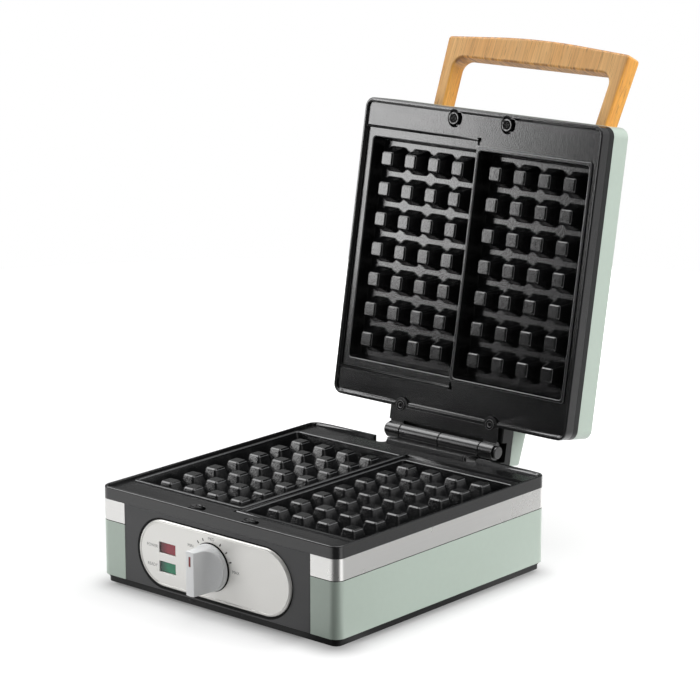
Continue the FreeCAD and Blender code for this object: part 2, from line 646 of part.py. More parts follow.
def heater(prefix, z, turn):
    """A tube bent to and fro under the casting, with its two ends at the back."""
    runs = []
    lanes = [f"{k} * coil_radius" for k in (-3, -1, 1, 3)]
    for number, x in enumerate(lanes):
        outer = number in (0, 3)
        length = "coil_run + lead_out" if outer else "coil_run"
        runs.append(rod(f"{prefix}_run_{number}", "tube_radius", length, (x, f"{turn} - coil_run / 2", z),
                        "Y"))
    for number, (x, end, angle) in enumerate((("-2 * coil_radius", "-", 180), ("2 * coil_radius", "-", 180),
                                              ("0", "+", 0))):
        runs.append(half_ring(f"{prefix}_bend_{number}", "coil_radius", "tube_radius",
                              (x, f"{turn} {end} coil_run / 2", z), angle))
    return join(prefix + "_tube", *runs)


def heat_tray(prefix, low, middle, upwards):
    """The outside and inside of an open sheet tray that faces its plate."""
    outer = block(prefix + "_outer", ("tray_width", "tray_depth", "tray_height"),
                  ("-tray_width / 2", f"{middle} - tray_depth / 2", low))
    floor = "tray_sheet" if upwards else "0"
    inner = block(prefix + "_inner", ("tray_width - 2 * tray_sheet", "tray_depth - 2 * tray_sheet",
                                      "tray_height - tray_sheet"),
                  ("-tray_width / 2 + tray_sheet", f"{middle} - tray_depth / 2 + tray_sheet",
                   f"{low} + {floor}"))
    return outer, inner


def heater_clips(prefix, z, seat, middle, upwards):
    clips = []
    for number, x in enumerate(("-3 * coil_radius", "-coil_radius", "coil_radius", "3 * coil_radius")):
        thick = "(tube_radius + clip_foot)"
        low = f"{z} - {thick}" if upwards else seat
        strap = block(f"{prefix}_strap_{number}",
                      ("clip_span", "clip_width",
                       f"{seat} - ({z}) + {thick}" if upwards else f"{z} + {thick} - ({seat})"),
                      (f"{x} - clip_span / 2", f"{middle} - clip_width / 2", low))
        hole = rod(f"{prefix}_hole_{number}", "tube_radius + spindle_play", "3 * clip_width",
                   (x, f"{middle} - 1.5 * clip_width", z), "Y")
        clips.append(cut(f"{prefix}_clip_{number}", strap, hole))
    return group(prefix + "_clips", *clips)


def screw_head(prefix, at, low, drive_low):
    """A pan head with a cross drive cut into the face whose drive starts at the level given."""
    head = rod(prefix + "_head", "head_radius", "head_height", (*at, low))
    bars = []
    for name, spans in (("slot", ("2 * drive_radius", "drive_width")),
                        ("cross", ("drive_width", "2 * drive_radius"))):
        corner = [f"{place} - {span} / 2" for place, span in zip(at, spans)]
        bars.append(block(f"{prefix}_{name}", (*spans, "drive_depth"), (*corner, drive_low)))
    return cut(prefix + "_driven_head", head, *bars)


castings = {}


def lower_heat():
    castings.update(plate=grill_plate("plate"), studs=grill_studs("studs"))
    for kind, drawn in castings.items():
        keep(put(group("lower_" + kind, drawn), "0", "0", "lip_top"), "lower_grill_" + kind)
    under = "(lip_top - cast_under)"
    z = f"({under} - fit_gap / 2 - tube_radius)"
    keep(heater("lower_heater", z, "0"), "lower_heating_element")
    outer, inner = heat_tray("lower_tray", f"{under} - fit_gap - tray_height", "0", True)
    outs = [rod(f"lower_tray_out_{k}", "tube_radius + fit_gap", "lead_out + coil_run",
                (f"{k} * coil_radius", "0", z), "Y") for k in (-3, 3)]
    keep(cut("lower_tray", outer, inner, *outs), "lower_heat_reflector")
    keep(heater_clips("lower", z, under, "0", True), "lower_element_clips")


def lower_fixings():
    posts, screws, under_screws = [], [], []
    tops = ["lip_top - well_under"] * 2 + ["lip_top - deck_under"] * 2
    for number, (at, top) in enumerate(zip(POSTS, tops)):
        post = rod(f"post_{number}_rod", "post_radius", f"{top} - (post_bottom)", (*at, "post_bottom"))
        low = rod(f"post_{number}_low_hole", "shank_radius + spindle_play", "screw_bite + hole_spare",
                  (*at, "post_bottom"))
        tools = [low]
        if number < 2:
            tools.append(rod(f"post_{number}_top_hole", "shank_radius + spindle_play",
                             "screw_bite + hole_spare",
                             (*at, f"{top} - screw_bite - hole_spare")))
            head = screw_head(f"plate_screw_{number}", at, "lip_top - head_sunk - head_height",
                              "lip_top - head_sunk - drive_depth")
            shank = rod(f"plate_screw_{number}_shank", "shank_radius",
                        "well_under - head_sunk - head_height + screw_bite",
                        (*at, f"{top} - screw_bite"))
            screws.append(join(f"plate_screw_{number}", head, shank))
        posts.append(cut(f"post_{number}", post, *tools))
        head = screw_head(f"under_screw_{number}", at, "foot_height + head_sunk", "foot_height + head_sunk")
        shank = rod(f"under_screw_{number}_shank", "shank_radius",
                    "pan_floor + pan_boss_height - head_height - head_sunk + screw_bite",
                    (*at, "foot_height + head_sunk + head_height"))
        under_screws.append(join(f"under_screw_{number}", head, shank))
    keep(group("posts", *posts), "plate_posts")
    keep(group("plate_screws", *screws), "lower_plate_screws")
    keep(group("under_screws", *under_screws), "base_screws")


def wiring():
    terminal = block("terminal_box", ("terminal_width", "terminal_depth", "terminal_height"),
                     ("knob_x - terminal_width / 2", "terminal_y", "floor_top"))
    height = "floor_top + terminal_height / 3"
    holes, leads = [], []
    for number in (-1, 0, 1):
        x = f"knob_x + {number} * terminal_pitch"
        tag = ("left", "middle", "right")[number + 1]
        holes.append(rod("terminal_hole_" + tag, "terminal_hole", "terminal_depth",
                         (x, "terminal_y", height), "Y"))
        holes.append(rod("terminal_screw_" + tag, "terminal_hole", "terminal_height / 3",
                         (x, "terminal_y + terminal_depth / 2", "floor_top + terminal_height * 2 / 3")))
        if number:
            flat = rod("lead_flat_" + tag, "lead_radius",
                       "terminal_y + terminal_depth / 2 - lead_rise_y - lead_bend",
                       (x, "lead_rise_y + lead_bend", height), "Y")
            bend = doc.addObject("Part::Torus", "lead_bend_" + tag)
            bind(bend, Radius1="lead_bend", Radius2="lead_radius")
            bend.Angle3 = 90
            bend.Placement = FreeCAD.Placement(V(), FreeCAD.Rotation(V(0, -1, 0), V(0, 0, -1), V(1, 0, 0)))
            put(bend, x, "lead_rise_y + lead_bend", f"{height} + lead_bend")
            rise = rod("lead_rise_" + tag, "lead_radius",
                       f"control_height - case_height / 2 - ({height}) - lead_bend",
                       (x, "lead_rise_y", f"{height} + lead_bend"))
            leads.append(join("lead_" + tag, flat, bend, rise))
    keep(cut("terminal", terminal, *holes), "terminal_block")
    keep(group("leads", *leads), "thermostat_leads")
    tray_low = "lip_top - cast_under - fit_gap - tray_height"
    keep(rod("fuse", "fuse_radius", "fuse_length",
             ("-fuse_length / 2", "0", f"{tray_low} - fuse_radius - fit_gap / 2"), "X"), "thermal_fuse")
    at = ("gland_x", "gland_height")
    collar = rod("gland_collar", "gland_radius", "gland_reach", (at[0], "back", at[1]), "Y")
    neck = rod("gland_neck_rod", "gland_neck", "skin + gland_nut",
               (at[0], "back - skin - gland_nut", at[1]), "Y")
    bore = rod("gland_bore", "cord_radius", "gland_reach + skin + gland_nut",
               (at[0], "back - skin - gland_nut", at[1]), "Y")
    keep(cut("gland", join("gland_solid", collar, neck), bore), "cable_gland")
    ring = rod("gland_nut_ring", "gland_radius", "gland_nut", (at[0], "back - skin - gland_nut", at[1]),
               "Y")
    hole = rod("gland_nut_hole", "gland_neck + spindle_play", "gland_nut",
               (at[0], "back - skin - gland_nut", at[1]), "Y")
    keep(cut("gland_lock", ring, hole), "gland_nut")


# Hinge: the block and pin stay with the base, the leaf swings with the lid
def base_hinge_block():
    body = new_body("hinge_block")
    side = new_sketch(body, "hinge_block_side", plane="YZ")
    lean = "tan(open_angle - 90)"
    stop = f"hinge_z - (tail_reach + stop_gap) / cos(open_angle - 90)"
    outline(side, [("back", "block_bottom"), ("back + block_depth", "block_bottom", "skin"),
                   ("hinge_y + ledge_back", f"{stop} - ledge_back * {lean} - ledge_heel", "skin"),
                   ("hinge_y + ledge_back", f"{stop} - ledge_back * {lean}"),
                   ("hinge_y - web_back", f"{stop} + web_back * {lean}"),
                   ("hinge_y - web_back", "hinge_z - block_top_drop"),
                   ("back", "hinge_z - block_top_drop")])
    pad(body, side, "2 * barrel_half", both=True)
    tube = new_sketch(body, "hinge_block_barrel", plane="YZ")
    circle(tube, "barrel_radius", "hinge_y", "hinge_z")
    pad(body, tube, "2 * barrel_half", both=True)
    groove = new_sketch(body, "hinge_block_groove", plane="YZ")
    circle(groove, "barrel_radius + barrel_groove", "hinge_y", "hinge_z")
    circle(groove, "barrel_radius - barrel_groove", "hinge_y", "hinge_z")
    pocket(body, groove, "barrel_groove_width", both=True)
    bore = new_sketch(body, "hinge_block_bore", plane="YZ")
    circle(bore, "pin_radius + pin_play", "hinge_y", "hinge_z")
    pocket(body, bore, "2 * barrel_half", both=True)
    holes = new_sketch(body, "hinge_block_holes", plane="XZ", level="-back")
    for sign in (-1, 1):
        circle(holes, "shank_radius + spindle_play", f"{sign} * block_screw_x", "block_screw_height")
    pocket(body, holes, "screw_bite + fit_gap")
    return keep(body, "base_hinge_block")


def hinge_pins():
    keep(rod("pin", "pin_radius", "2 * (knuckle_end + fit_gap)",
             ("-knuckle_end - fit_gap", "hinge_y", "hinge_z"), "X"), "hinge_pin")
    caps = []
    for name, x in (("left", "-knuckle_end - fit_gap - cap_length"), ("right", "knuckle_end + fit_gap")):
        caps.append(rod("pin_cap_" + name, "cap_radius", "cap_length", (x, "hinge_y", "hinge_z"), "X"))
    keep(group("pin_caps", *caps), "hinge_pin_caps")
    screws = []
    for name, sign in (("left", -1), ("right", 1)):
        at = (f"{sign} * block_screw_x", "block_screw_height")
        head = rod("block_head_" + name, "head_radius", "head_height",
                   (at[0], "back - skin - head_height", at[1]), "Y")
        shank = rod("block_shank_" + name, "shank_radius", "head_height + skin + screw_bite",
                    (at[0], "back - skin - head_height", at[1]), "Y")
        screws.append(join("block_screw_" + name, head, shank))
    keep(group("block_screws", *screws), "hinge_block_screws")


def lid_hinge_leaf():
    body = new_body("leaf")
    low = "-lip_under_axis"
    plate = new_sketch(body, "leaf_plate", level=low)
    outline(plate, [("-knuckle_end", "lid_back + fit_gap"), ("knuckle_end", "lid_back + fit_gap"),
                    ("knuckle_end", "-leaf_reach"), ("-knuckle_end", "-leaf_reach")])
    pad(body, plate, "leaf_sheet")
    lugs = new_sketch(body, "leaf_lugs", level=low)
    for side in (-1, 1):
        circle(lugs, "lug_radius", f"{side} * notch_x", "lid_back - notch_inset")
    pad(body, lugs, "leaf_sheet")
    for name, x in (("left", "-knuckle_end"), ("right", "knuckle_start")):
        arm = new_sketch(body, f"leaf_arm_{name}", plane="YZ", level=x)
        top = "leaf_sheet - lip_under_axis"
        outline(arm, [("-leaf_reach", low), ("0", low), ("0", "barrel_radius"),
                      ("-barrel_radius / 2", "barrel_radius"),
                      ("-swing_clear + fit_gap", top), ("-leaf_reach", top)])
        pad(body, arm, "knuckle_end - knuckle_start")
        ring = new_sketch(body, f"leaf_knuckle_{name}", plane="YZ", level=x)
        circle(ring, "barrel_radius")
        pad(body, ring, "knuckle_end - knuckle_start")
    bore = new_sketch(body, "leaf_bore", plane="YZ")
    circle(bore, "pin_radius + pin_play")
    pocket(body, bore, "4 * knuckle_end", both=True)
    holes = new_sketch(body, "leaf_screw_holes", level=low)
    for side in (-1, 1):
        circle(holes, "shank_radius + fit_gap", f"{side} * notch_x", "lid_back - notch_inset")
    pocket(body, holes, "leaf_sheet", reverse=True)
    return keep(hang(body), "lid_hinge_leaf")


def hinge_screws():
    screws = []
    for name, side in (("left", -1), ("right", 1)):
        at = (f"{side} * notch_x", "lid_back - notch_inset")
        level = "-lip_under_axis - hinge_head_height / 2"
        dome = rod("leaf_head_" + name, "hinge_head_radius", "hinge_head_height / 2", (*at, level))
        shank = rod("leaf_shank_" + name, "shank_radius", "hinge_head_height / 2 + leaf_sheet + screw_bite",
                    (*at, level))
        socket = rod("leaf_socket_" + name, "hinge_head_radius / 2", "hinge_head_height / 3", (*at, level))
        screws.append(cut("leaf_screw_" + name, join("leaf_screw_solid_" + name, dome, shank), socket))
    return keep(hang(group("leaf_screws", *screws)), "hinge_screws")


# Lid: frame, shell, plate and heater
def lid_tube(body, name, level, length, wall):
    sketch = new_sketch(body, name, level=level, y="lid_middle")
    rectangle(sketch, "body_width", "body_depth", "corner_radius")
    rectangle(sketch, f"body_width - 2 * ({wall})", f"body_depth - 2 * ({wall})",
              f"corner_radius - ({wall})")
    return pad(body, sketch, length)


def lid_frame():
    body = new_body("frame")
    lid_tube(body, "frame_ring", "frame_bottom", "frame_height", "frame_wall")
    tail = new_sketch(body, "frame_tail", plane="YZ")
    top = "frame_bottom + frame_height"
    inner = "lid_back + fit_gap"
    outline(tail, [(inner, "leaf_sheet - lip_under_axis + fit_gap"),
                   ("-swing_clear", "leaf_sheet - lip_under_axis + fit_gap"),
                   ("-swing_clear", "swing_clear"), ("swing_clear", "swing_clear"),
                   ("swing_clear", "tail_bottom"),
                   ("tail_reach", "tail_bottom"), ("tail_reach", top), (inner, top)])
    pad(body, tail, "2 * tail_half", both=True)
    bridge = new_sketch(body, "frame_tail_bridge", plane="YZ")
    outline(bridge, [("lid_back - tail_overlap", "frame_bottom"), (inner, "frame_bottom"), (inner, top),
                     ("lid_back - tail_overlap", top)])
    pad(body, bridge, "2 * tail_half", both=True)
    bosses = new_sketch(body, "frame_lug_bosses", level="leaf_sheet - lip_under_axis + fit_gap")
    holes = new_sketch(body, "frame_screw_holes", level="leaf_sheet - lip_under_axis + fit_gap")
    posts = new_sketch(body, "frame_post_holes", level="frame_bottom")
    for side in (-1, 1):
        at = (f"{side} * notch_x", "lid_back - notch_inset")
        circle(bosses, "lug_radius", *at)
        circle(holes, "shank_radius + spindle_play", *at)
        circle(posts, "post_radius + fit_gap", f"{side} * screw_x", "lid_front + screw_inset")
    pad(body, bosses, "frame_bottom - leaf_sheet + lip_under_axis")
    pocket(body, holes, "screw_bite", reverse=True)
    pocket(body, posts, "frame_height", reverse=True)
    return keep(hang(body), "lid_frame")


def lid_shell():
    body = new_body("shell")
    outer = new_sketch(body, "shell_outline", level="shell_bottom", y="lid_middle")
    rectangle(outer, "body_width", "body_depth", "corner_radius")
    crown = pad(body, outer, "shell_height")
    dress(body, "Fillet", crown, at_level("Z", "shell_top"), Radius="shell_round")
    tail = new_sketch(body, "shell_tail", plane="YZ")
    root = "lid_back - skin"
    outline(tail, [(root, "shell_bottom"), ("tail_reach", "shell_bottom"),
                   ("tail_reach", "shell_bottom + tail_shell_end", "tail_wall"),
                   (root, "shell_bottom + tail_shell_root")])
    pad(body, tail, "2 * tail_half", both=True)
    room = new_sketch(body, "shell_room", level="shell_bottom", y="lid_middle")
    rectangle(room, "body_width - 2 * skin", "body_depth - 2 * skin", "corner_radius - skin")
    pocket(body, room, "shell_height - skin", reverse=True)
    hollow = new_sketch(body, "shell_tail_hollow", plane="YZ")
    outline(hollow, [(root, "shell_bottom"), ("tail_reach - tail_wall", "shell_bottom"),
                     ("tail_reach - tail_wall", "shell_bottom + tail_shell_end - tail_wall"),
                     (root, "shell_bottom + tail_shell_root - tail_wall")])
    pocket(body, hollow, "2 * (tail_half - tail_wall)", both=True)
    holes = new_sketch(body, "shell_handle_holes", level="shell_top")
    for x, y in MOUNT_SCREWS:
        circle(holes, "shank_radius + fit_gap", x, y)
    pocket(body, holes, "skin")
    return keep(hang(body), "lid_shell")


def upper_heat():
    flip = FreeCAD.Rotation(V(1, 0, 0), -size("open_angle")) * FreeCAD.Rotation(V(0, 1, 0), 180)
    swung_y, swung_z = "lid_middle", "-lip_under_axis"
    for kind, drawn in castings.items():
        upper = group("upper_" + kind, drawn)
        upper.Placement = FreeCAD.Placement(V(), flip)
        put(upper, "0", f"hinge_y + ({swung_y}) * cos(open_angle) + ({swung_z}) * sin(open_angle)",
            f"hinge_z - ({swung_y}) * sin(open_angle) + ({swung_z}) * cos(open_angle)")
        keep(upper, "upper_grill_" + kind)
    over = "(cast_under - lip_under_axis)"
    z = f"({over} + fit_gap / 2 + tube_radius)"
    keep(hang(heater("upper_heater", z, "lid_middle")), "upper_heating_element")
    outer, inner = heat_tray("upper_tray", f"{over} + fit_gap", "lid_middle", False)
    outs = []
    for k in (-3, 3):
        outs.append(rod(f"upper_tray_out_{k}".replace("-", "m"), "tube_radius + fit_gap",
                        "lead_out + coil_run",
                        (f"{k} * coil_radius", "lid_middle", z), "Y"))
    keep(hang(cut("upper_tray", outer, inner, *outs)), "upper_heat_reflector")
    keep(hang(heater_clips("upper", z, over, "lid_middle", False)), "upper_element_clips")


def upper_fixings():
    posts, screws = [], []
    for number, side in enumerate((-1, 1)):
        at = (f"{side} * screw_x", "lid_front + screw_inset")
        low = "well_under - lip_under_axis"
        post = rod(f"lid_post_{number}_rod", "post_radius", f"shell_inside - ({low})", (*at, low))
        hole = rod(f"lid_post_{number}_hole", "shank_radius + spindle_play", "screw_bite + hole_spare",
                   (*at, low))
        posts.append(cut(f"lid_post_{number}", post, hole))
        head = screw_head(f"lid_screw_{number}", at, "head_sunk - lip_under_axis",
                          "head_sunk - lip_under_axis")
        shank = rod(f"lid_screw_{number}_shank", "shank_radius",
                    "well_under - head_sunk - head_height + screw_bite",
                    (*at, "head_sunk - lip_under_axis + head_height"))
        screws.append(join(f"lid_screw_{number}", head, shank))
    keep(hang(group("lid_posts", *posts)), "lid_posts")
    keep(hang(group("lid_screws", *screws)), "upper_plate_screws")


# Handle: a bail held on two wedges on top of the lid
ARM_FLARE = "((handle_half_top - handle_half_foot) / handle_reach)"
ARM_MIDDLE = f"(handle_half_foot - handle_arm / 2 - {ARM_FLARE} * mount_length / 2)"
MOUNT_FRONT = "(lid_front + mount_setback)"
MOUNT_SCREWS = []
for mount_side in (-1, 1):
    for near in ("mount_screw_near", "mount_screw_far"):
        MOUNT_SCREWS.append((f"{mount_side} * {ARM_MIDDLE}", f"{MOUNT_FRONT} + {near}"))


def handle_underside(y):
    """Height of the handle's under face above the hinge line, at a place along the closed lid."""
    return f"(handle_rise + (lid_front - ({y})) * tan(handle_tilt))"


def handle():
    body = new_body("bail")
    sketch = new_sketch(body, "bail_outline", y="lid_front", level="handle_rise")
    sketch.AttachmentOffset = FreeCAD.Placement(V(), FreeCAD.Rotation(V(1, 0, 0), -size("handle_tilt")))
    sketch.setExpression("AttachmentOffset.Rotation.Angle", bound("-handle_tilt") + " * 1deg")
    foot = f"(handle_half_foot - {ARM_FLARE} * handle_tail)"
    bar_low = "(handle_reach - handle_bar)"
    inner_foot = f"({foot} - handle_arm)"
    inner_top = f"(handle_half_foot + {ARM_FLARE} * {bar_low} - handle_arm - handle_arm_swell)"
    outline(sketch, [(f"-{foot}", "handle_tail"),
                     ("-handle_half_top", "-handle_reach", "handle_outer_round"),
                     ("0", "-handle_reach - handle_crown", "handle_crown_round"),
                     ("handle_half_top", "-handle_reach", "handle_outer_round"), (foot, "handle_tail"),
                     (inner_foot, "handle_tail"), (inner_top, f"-{bar_low}", "handle_inner_round"),
                     (f"-{inner_top}", f"-{bar_low}", "handle_inner_round"),
                     (f"-{inner_foot}", "handle_tail")])
    solid = pad(body, sketch, "handle_depth")
    tilt = math.radians(size("handle_tilt"))
    start = V(0, size("lid_front"), size("handle_rise"))
    upward, footward = V(0, math.sin(tilt), math.cos(tilt)), V(0, math.cos(tilt), -math.sin(tilt))
    in_face = lambda edge: abs((edge.Vertexes[0].Point - edge.Vertexes[-1].Point).dot(upward)) < NEAR
    past_end = lambda corner: abs((corner.Point - start).dot(footward) - size("handle_tail")) < NEAR
    at_foot = lambda edge: all(past_end(corner) for corner in edge.Vertexes)
    dress(body, "Fillet", solid, lambda edge: in_face(edge) and not at_foot(edge), Radius="handle_edge")
    holes = new_sketch(body, "bail_screw_holes", level="shell_top")
    for x, y in MOUNT_SCREWS:
        circle(holes, "shank_radius + spindle_play", x, y)
    pocket(body, holes, f"{handle_underside(MOUNT_FRONT)} - shell_top + mount_bite", reverse=True)
    return keep(hang(body), "handle")


def handle_mounts():
    wedges, screws = [], []
    back_y = f"({MOUNT_FRONT} + mount_length)"
    for name, side in (("left", -1), ("right", 1)):
        body = new_body("wedge_" + name)
        profile = new_sketch(body, f"wedge_{name}_side", plane="YZ", level=f"{side} * {ARM_MIDDLE}")
        outline(profile, [(MOUNT_FRONT, "shell_top"), (back_y, "shell_top"),
                          (back_y, handle_underside(back_y)),
                          (MOUNT_FRONT, handle_underside(MOUNT_FRONT))])
        pad(body, profile, "mount_width", both=True)
        holes = new_sketch(body, f"wedge_{name}_holes", level="shell_top")
        for x, y in MOUNT_SCREWS[:2] if side < 0 else MOUNT_SCREWS[2:]:
            circle(holes, "shank_radius + fit_gap", x, y)
        pocket(body, holes, f"{handle_underside(MOUNT_FRONT)} - shell_top", reverse=True)
        wedges.append(body)
    keep(hang(group("wedges", *wedges)), "handle_mounts")
    for number, (x, y) in enumerate(MOUNT_SCREWS):
        head = rod(f"handle_head_{number}", "head_radius", "head_height",
                   (x, y, "shell_inside - head_height"))
        shank = rod(f"handle_shank_{number}", "shank_radius",
                    f"{handle_underside(y)} - shell_inside + mount_bite - hole_spare",
                    (x, y, "shell_inside"))
        screws.append(join(f"handle_screw_{number}", head, shank))
    keep(hang(group("handle_screw_set", *screws)), "handle_screws")


def check():
    doc.recompute()
    for item in doc.Objects:
        if "Invalid" in item.State or "Error" in item.State:
            raise RuntimeError(f"{item.Name} failed: {item.State}")
        is_pocket = item.TypeId == "PartDesign::Pocket"
        if is_pocket and item.Shape.Volume >= item.BaseFeature.Shape.Volume - 1e-6:
            raise RuntimeError(f"{item.Name} cuts nothing")
    for item in nodes:
        if item.Shape.isNull() or not item.Shape.isValid() or not item.Shape.Solids:
            raise RuntimeError(f"{item.Label} has no valid solid")


def write():
    os.makedirs("parts", exist_ok=True)
    for item in nodes:
        item.Shape.exportStep(f"parts/{item.Label}.step")
        box = item.Shape.BoundBox
        spans = " x ".join(f"{span:.1f}" for span in (box.XLength, box.YLength, box.ZLength))
        count, litres = len(item.Shape.Solids), item.Shape.Volume / 1e6
        print(f"{item.Label}: {count} solids, {spans} mm, {litres:.4f} litres")


for make in (base_pan, foot_pads, lower_wrap, trim_band, front_panel, control_fascia, lamps, thermostat,
             temperature_knob, knob_fittings, lower_heat, lower_fixings, wiring, base_hinge_block,
             hinge_pins, lid_hinge_leaf, hinge_screws, lid_frame, lid_shell, upper_heat, upper_fixings,
             handle, handle_mounts):
    make()
check()
write()
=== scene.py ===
import bpy
import bmesh
import json
import math
from mathutils import Matrix, Vector


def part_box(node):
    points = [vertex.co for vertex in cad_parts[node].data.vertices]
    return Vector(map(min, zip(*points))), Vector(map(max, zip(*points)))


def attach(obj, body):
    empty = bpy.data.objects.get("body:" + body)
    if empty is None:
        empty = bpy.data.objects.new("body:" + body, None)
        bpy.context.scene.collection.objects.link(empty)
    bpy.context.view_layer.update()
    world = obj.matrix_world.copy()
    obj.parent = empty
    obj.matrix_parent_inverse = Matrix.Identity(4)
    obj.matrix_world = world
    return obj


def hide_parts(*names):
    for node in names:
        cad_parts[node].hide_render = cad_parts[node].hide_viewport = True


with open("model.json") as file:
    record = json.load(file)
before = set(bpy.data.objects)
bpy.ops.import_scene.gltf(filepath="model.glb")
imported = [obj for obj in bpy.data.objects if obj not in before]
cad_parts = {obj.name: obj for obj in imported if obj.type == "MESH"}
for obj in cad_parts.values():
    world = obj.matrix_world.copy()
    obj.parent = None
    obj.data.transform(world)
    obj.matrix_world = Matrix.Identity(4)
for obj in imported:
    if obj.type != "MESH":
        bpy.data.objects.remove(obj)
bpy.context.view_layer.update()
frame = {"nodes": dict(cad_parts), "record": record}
nodes = frame["nodes"]
record = frame["record"]
bodyOf = {node: body for body, members in record["behaviour"]["bodies"].items() for node in members}
slotOf = {row["node"]: row["material_slot"] for row in record["subparts"]}
scene = bpy.context.scene
scene.view_settings.view_transform = "Standard"
mm = 0.001  # pieces are measured in mm; the camera's place, the floor and the lamps in metres
print("frame:", len(nodes), "nodes")

# the photograph's view, from a fit of the plate grid and the base edges
view = {"at": (1.4059, -1.5958, 0.7094), "towards": (0.0382, -0.01365, 0.1975), "lens": 142.25, "sensor": 36}
camera = bpy.data.objects.new("camera", bpy.data.cameras.new("camera"))
scene.collection.objects.link(camera)
camera.location = view["at"]
camera.rotation_euler = (Vector(view["towards"]) - camera.location).to_track_quat("-Z", "Y").to_euler()
camera.data.lens = view["lens"]
camera.data.sensor_width = view["sensor"]
scene.camera = camera


# small helpers for the node trees
def addNode(tree, kind, values=None, **settings):
    node = tree.nodes.new(kind)
    for key, value in settings.items():
        setattr(node, key, value)
    for key, value in (values or {}).items():
        node.inputs[key].default_value = value
    return node


def objectPlace(tree):
    return tree.nodes.new("ShaderNodeTexCoord").outputs["Object"]


def combine(tree, operation, first, second):
    node = addNode(tree, "ShaderNodeMath", operation=operation)
    for socket, value in zip(node.inputs, (first, second)):
        if isinstance(value, (int, float)):
            socket.default_value = value
        else:
            tree.links.new(value, socket)
    return node.outputs[0]


def combineVector(tree, operation, vector, amount=(0, 0, 0)):
    node = addNode(tree, "ShaderNodeVectorMath", operation=operation)
    tree.links.new(vector, node.inputs[0])
    node.inputs[1].default_value = amount
    return node.outputs["Value" if operation in ("LENGTH", "DOT_PRODUCT") else "Vector"]


def spread(tree, value, low, high, start=0.0, end=1.0, kind="LINEAR"):
    limits = {"From Min": low, "From Max": high, "To Min": start, "To Max": end}
    node = addNode(tree, "ShaderNodeMapRange", limits, interpolation_type=kind)
    tree.links.new(value, node.inputs["Value"])
    return node.outputs["Result"]


# a fade's values are the range it reads, then the range it gives
def fade(tree, value, values):
    return spread(tree, value, *values, kind="SMOOTHSTEP")


def mixColour(tree, factor, first, second):
    node = addNode(tree, "ShaderNodeMix", data_type="RGBA")
    tree.links.new(factor, node.inputs["Factor"])
    sockets = [socket for socket in node.inputs if socket.type == "RGBA"]
    for socket, value in zip(sockets, (first, second)):
        if isinstance(value, tuple):
            socket.default_value = (*value, 1)
        else:
            tree.links.new(value, socket)
    return next(socket for socket in node.outputs if socket.type == "RGBA")


def newGroup(name, inputs, outputs):
    tree = bpy.data.node_groups.new(name, "ShaderNodeTree")
    for label, kind, value in inputs:
        tree.interface.new_socket(label, in_out="INPUT", socket_type=kind).default_value = value
    for label in outputs:
        tree.interface.new_socket(label, in_out="OUTPUT", socket_type="NodeSocketFloat")
    return tree, tree.nodes.new("NodeGroupInput"), tree.nodes.new("NodeGroupOutput")


# shared effects: grain of any stretch, cloudy handling marks, and worn edges painted lighter, partly real
# wear and partly a painted highlight along the rounded edges
def grainGroup():
    inputs = [("Scale", "NodeSocketFloat", 400.0), ("Fine", "NodeSocketFloat", 0.6),
              ("Stretch", "NodeSocketVector", (1.0, 1.0, 1.0))]
    tree, start, end = newGroup("surfaceGrain", inputs, ["Tone", "Height"])
    scaled = addNode(tree, "ShaderNodeVectorMath", operation="MULTIPLY")
    tree.links.new(objectPlace(tree), scaled.inputs[0])
    tree.links.new(start.outputs["Stretch"], scaled.inputs[1])
    coarse = addNode(tree, "ShaderNodeTexNoise", {"Detail": 3.0, "Roughness": 0.6})
    fine = addNode(tree, "ShaderNodeTexNoise", {"Detail": 2.0, "Roughness": 0.6})
    for node, times in ((coarse, 1.0), (fine, 3.1)):
        tree.links.new(scaled.outputs[0], node.inputs["Vector"])
        tree.links.new(combine(tree, "MULTIPLY", start.outputs["Scale"], times), node.inputs["Scale"])
    tree.links.new(spread(tree, coarse.outputs["Fac"], low=0.3, high=0.7), end.inputs["Tone"])
    rest = combine(tree, "SUBTRACT", 1.0, start.outputs["Fine"])
    both = combine(tree, "ADD", combine(tree, "MULTIPLY", fine.outputs["Fac"], start.outputs["Fine"]),
                   combine(tree, "MULTIPLY", coarse.outputs["Fac"], rest))
    tree.links.new(both, end.inputs["Height"])
    return tree


def marksGroup():
    tree, start, end = newGroup("handlingMarks", [("Scale", "NodeSocketFloat", 14.0)], ["Mask"])
    clouds = addNode(tree, "ShaderNodeTexNoise", {"Detail": 5.0, "Roughness": 0.62, "Distortion": 0.6})
    tree.links.new(objectPlace(tree), clouds.inputs["Vector"])
    tree.links.new(start.outputs["Scale"], clouds.inputs["Scale"])
    mask = spread(tree, clouds.outputs["Fac"], low=0.35, high=0.68, kind="SMOOTHSTEP")
    tree.links.new(mask, end.inputs["Mask"])
    return tree


# the mask of the lighter edge colour: partly real wear, partly a painted highlight on the rounded edges
def wearAndHighlightGroup():
    inputs = [("Scale", "NodeSocketFloat", 120.0), ("Reach", "NodeSocketFloat", 0.5)]
    tree, start, end = newGroup("edgeWearAndHighlight", inputs, ["Mask"])
    edge = addNode(tree, "ShaderNodeAttribute", attribute_name="edge")
    rubs = addNode(tree, "ShaderNodeTexNoise", {"Detail": 6.0, "Roughness": 0.7})
    tree.links.new(objectPlace(tree), rubs.inputs["Vector"])
    tree.links.new(start.outputs["Scale"], rubs.inputs["Scale"])
    lifted = combine(tree, "ADD", rubs.outputs["Fac"], start.outputs["Reach"])
    rubbed = spread(tree, lifted, low=0.7, high=1.15)
    tree.links.new(combine(tree, "MULTIPLY", edge.outputs["Fac"], rubbed), end.inputs["Mask"])
    return tree


effects = {"grain": grainGroup(), "marks": marksGroup(), "wearAndHighlight": wearAndHighlightGroup()}


def addEffect(tree, name, **values):
    node = tree.nodes.new("ShaderNodeGroup")
    node.node_tree = effects[name]
    for key, value in values.items():
        node.inputs[key.capitalize()].default_value = value
    return node


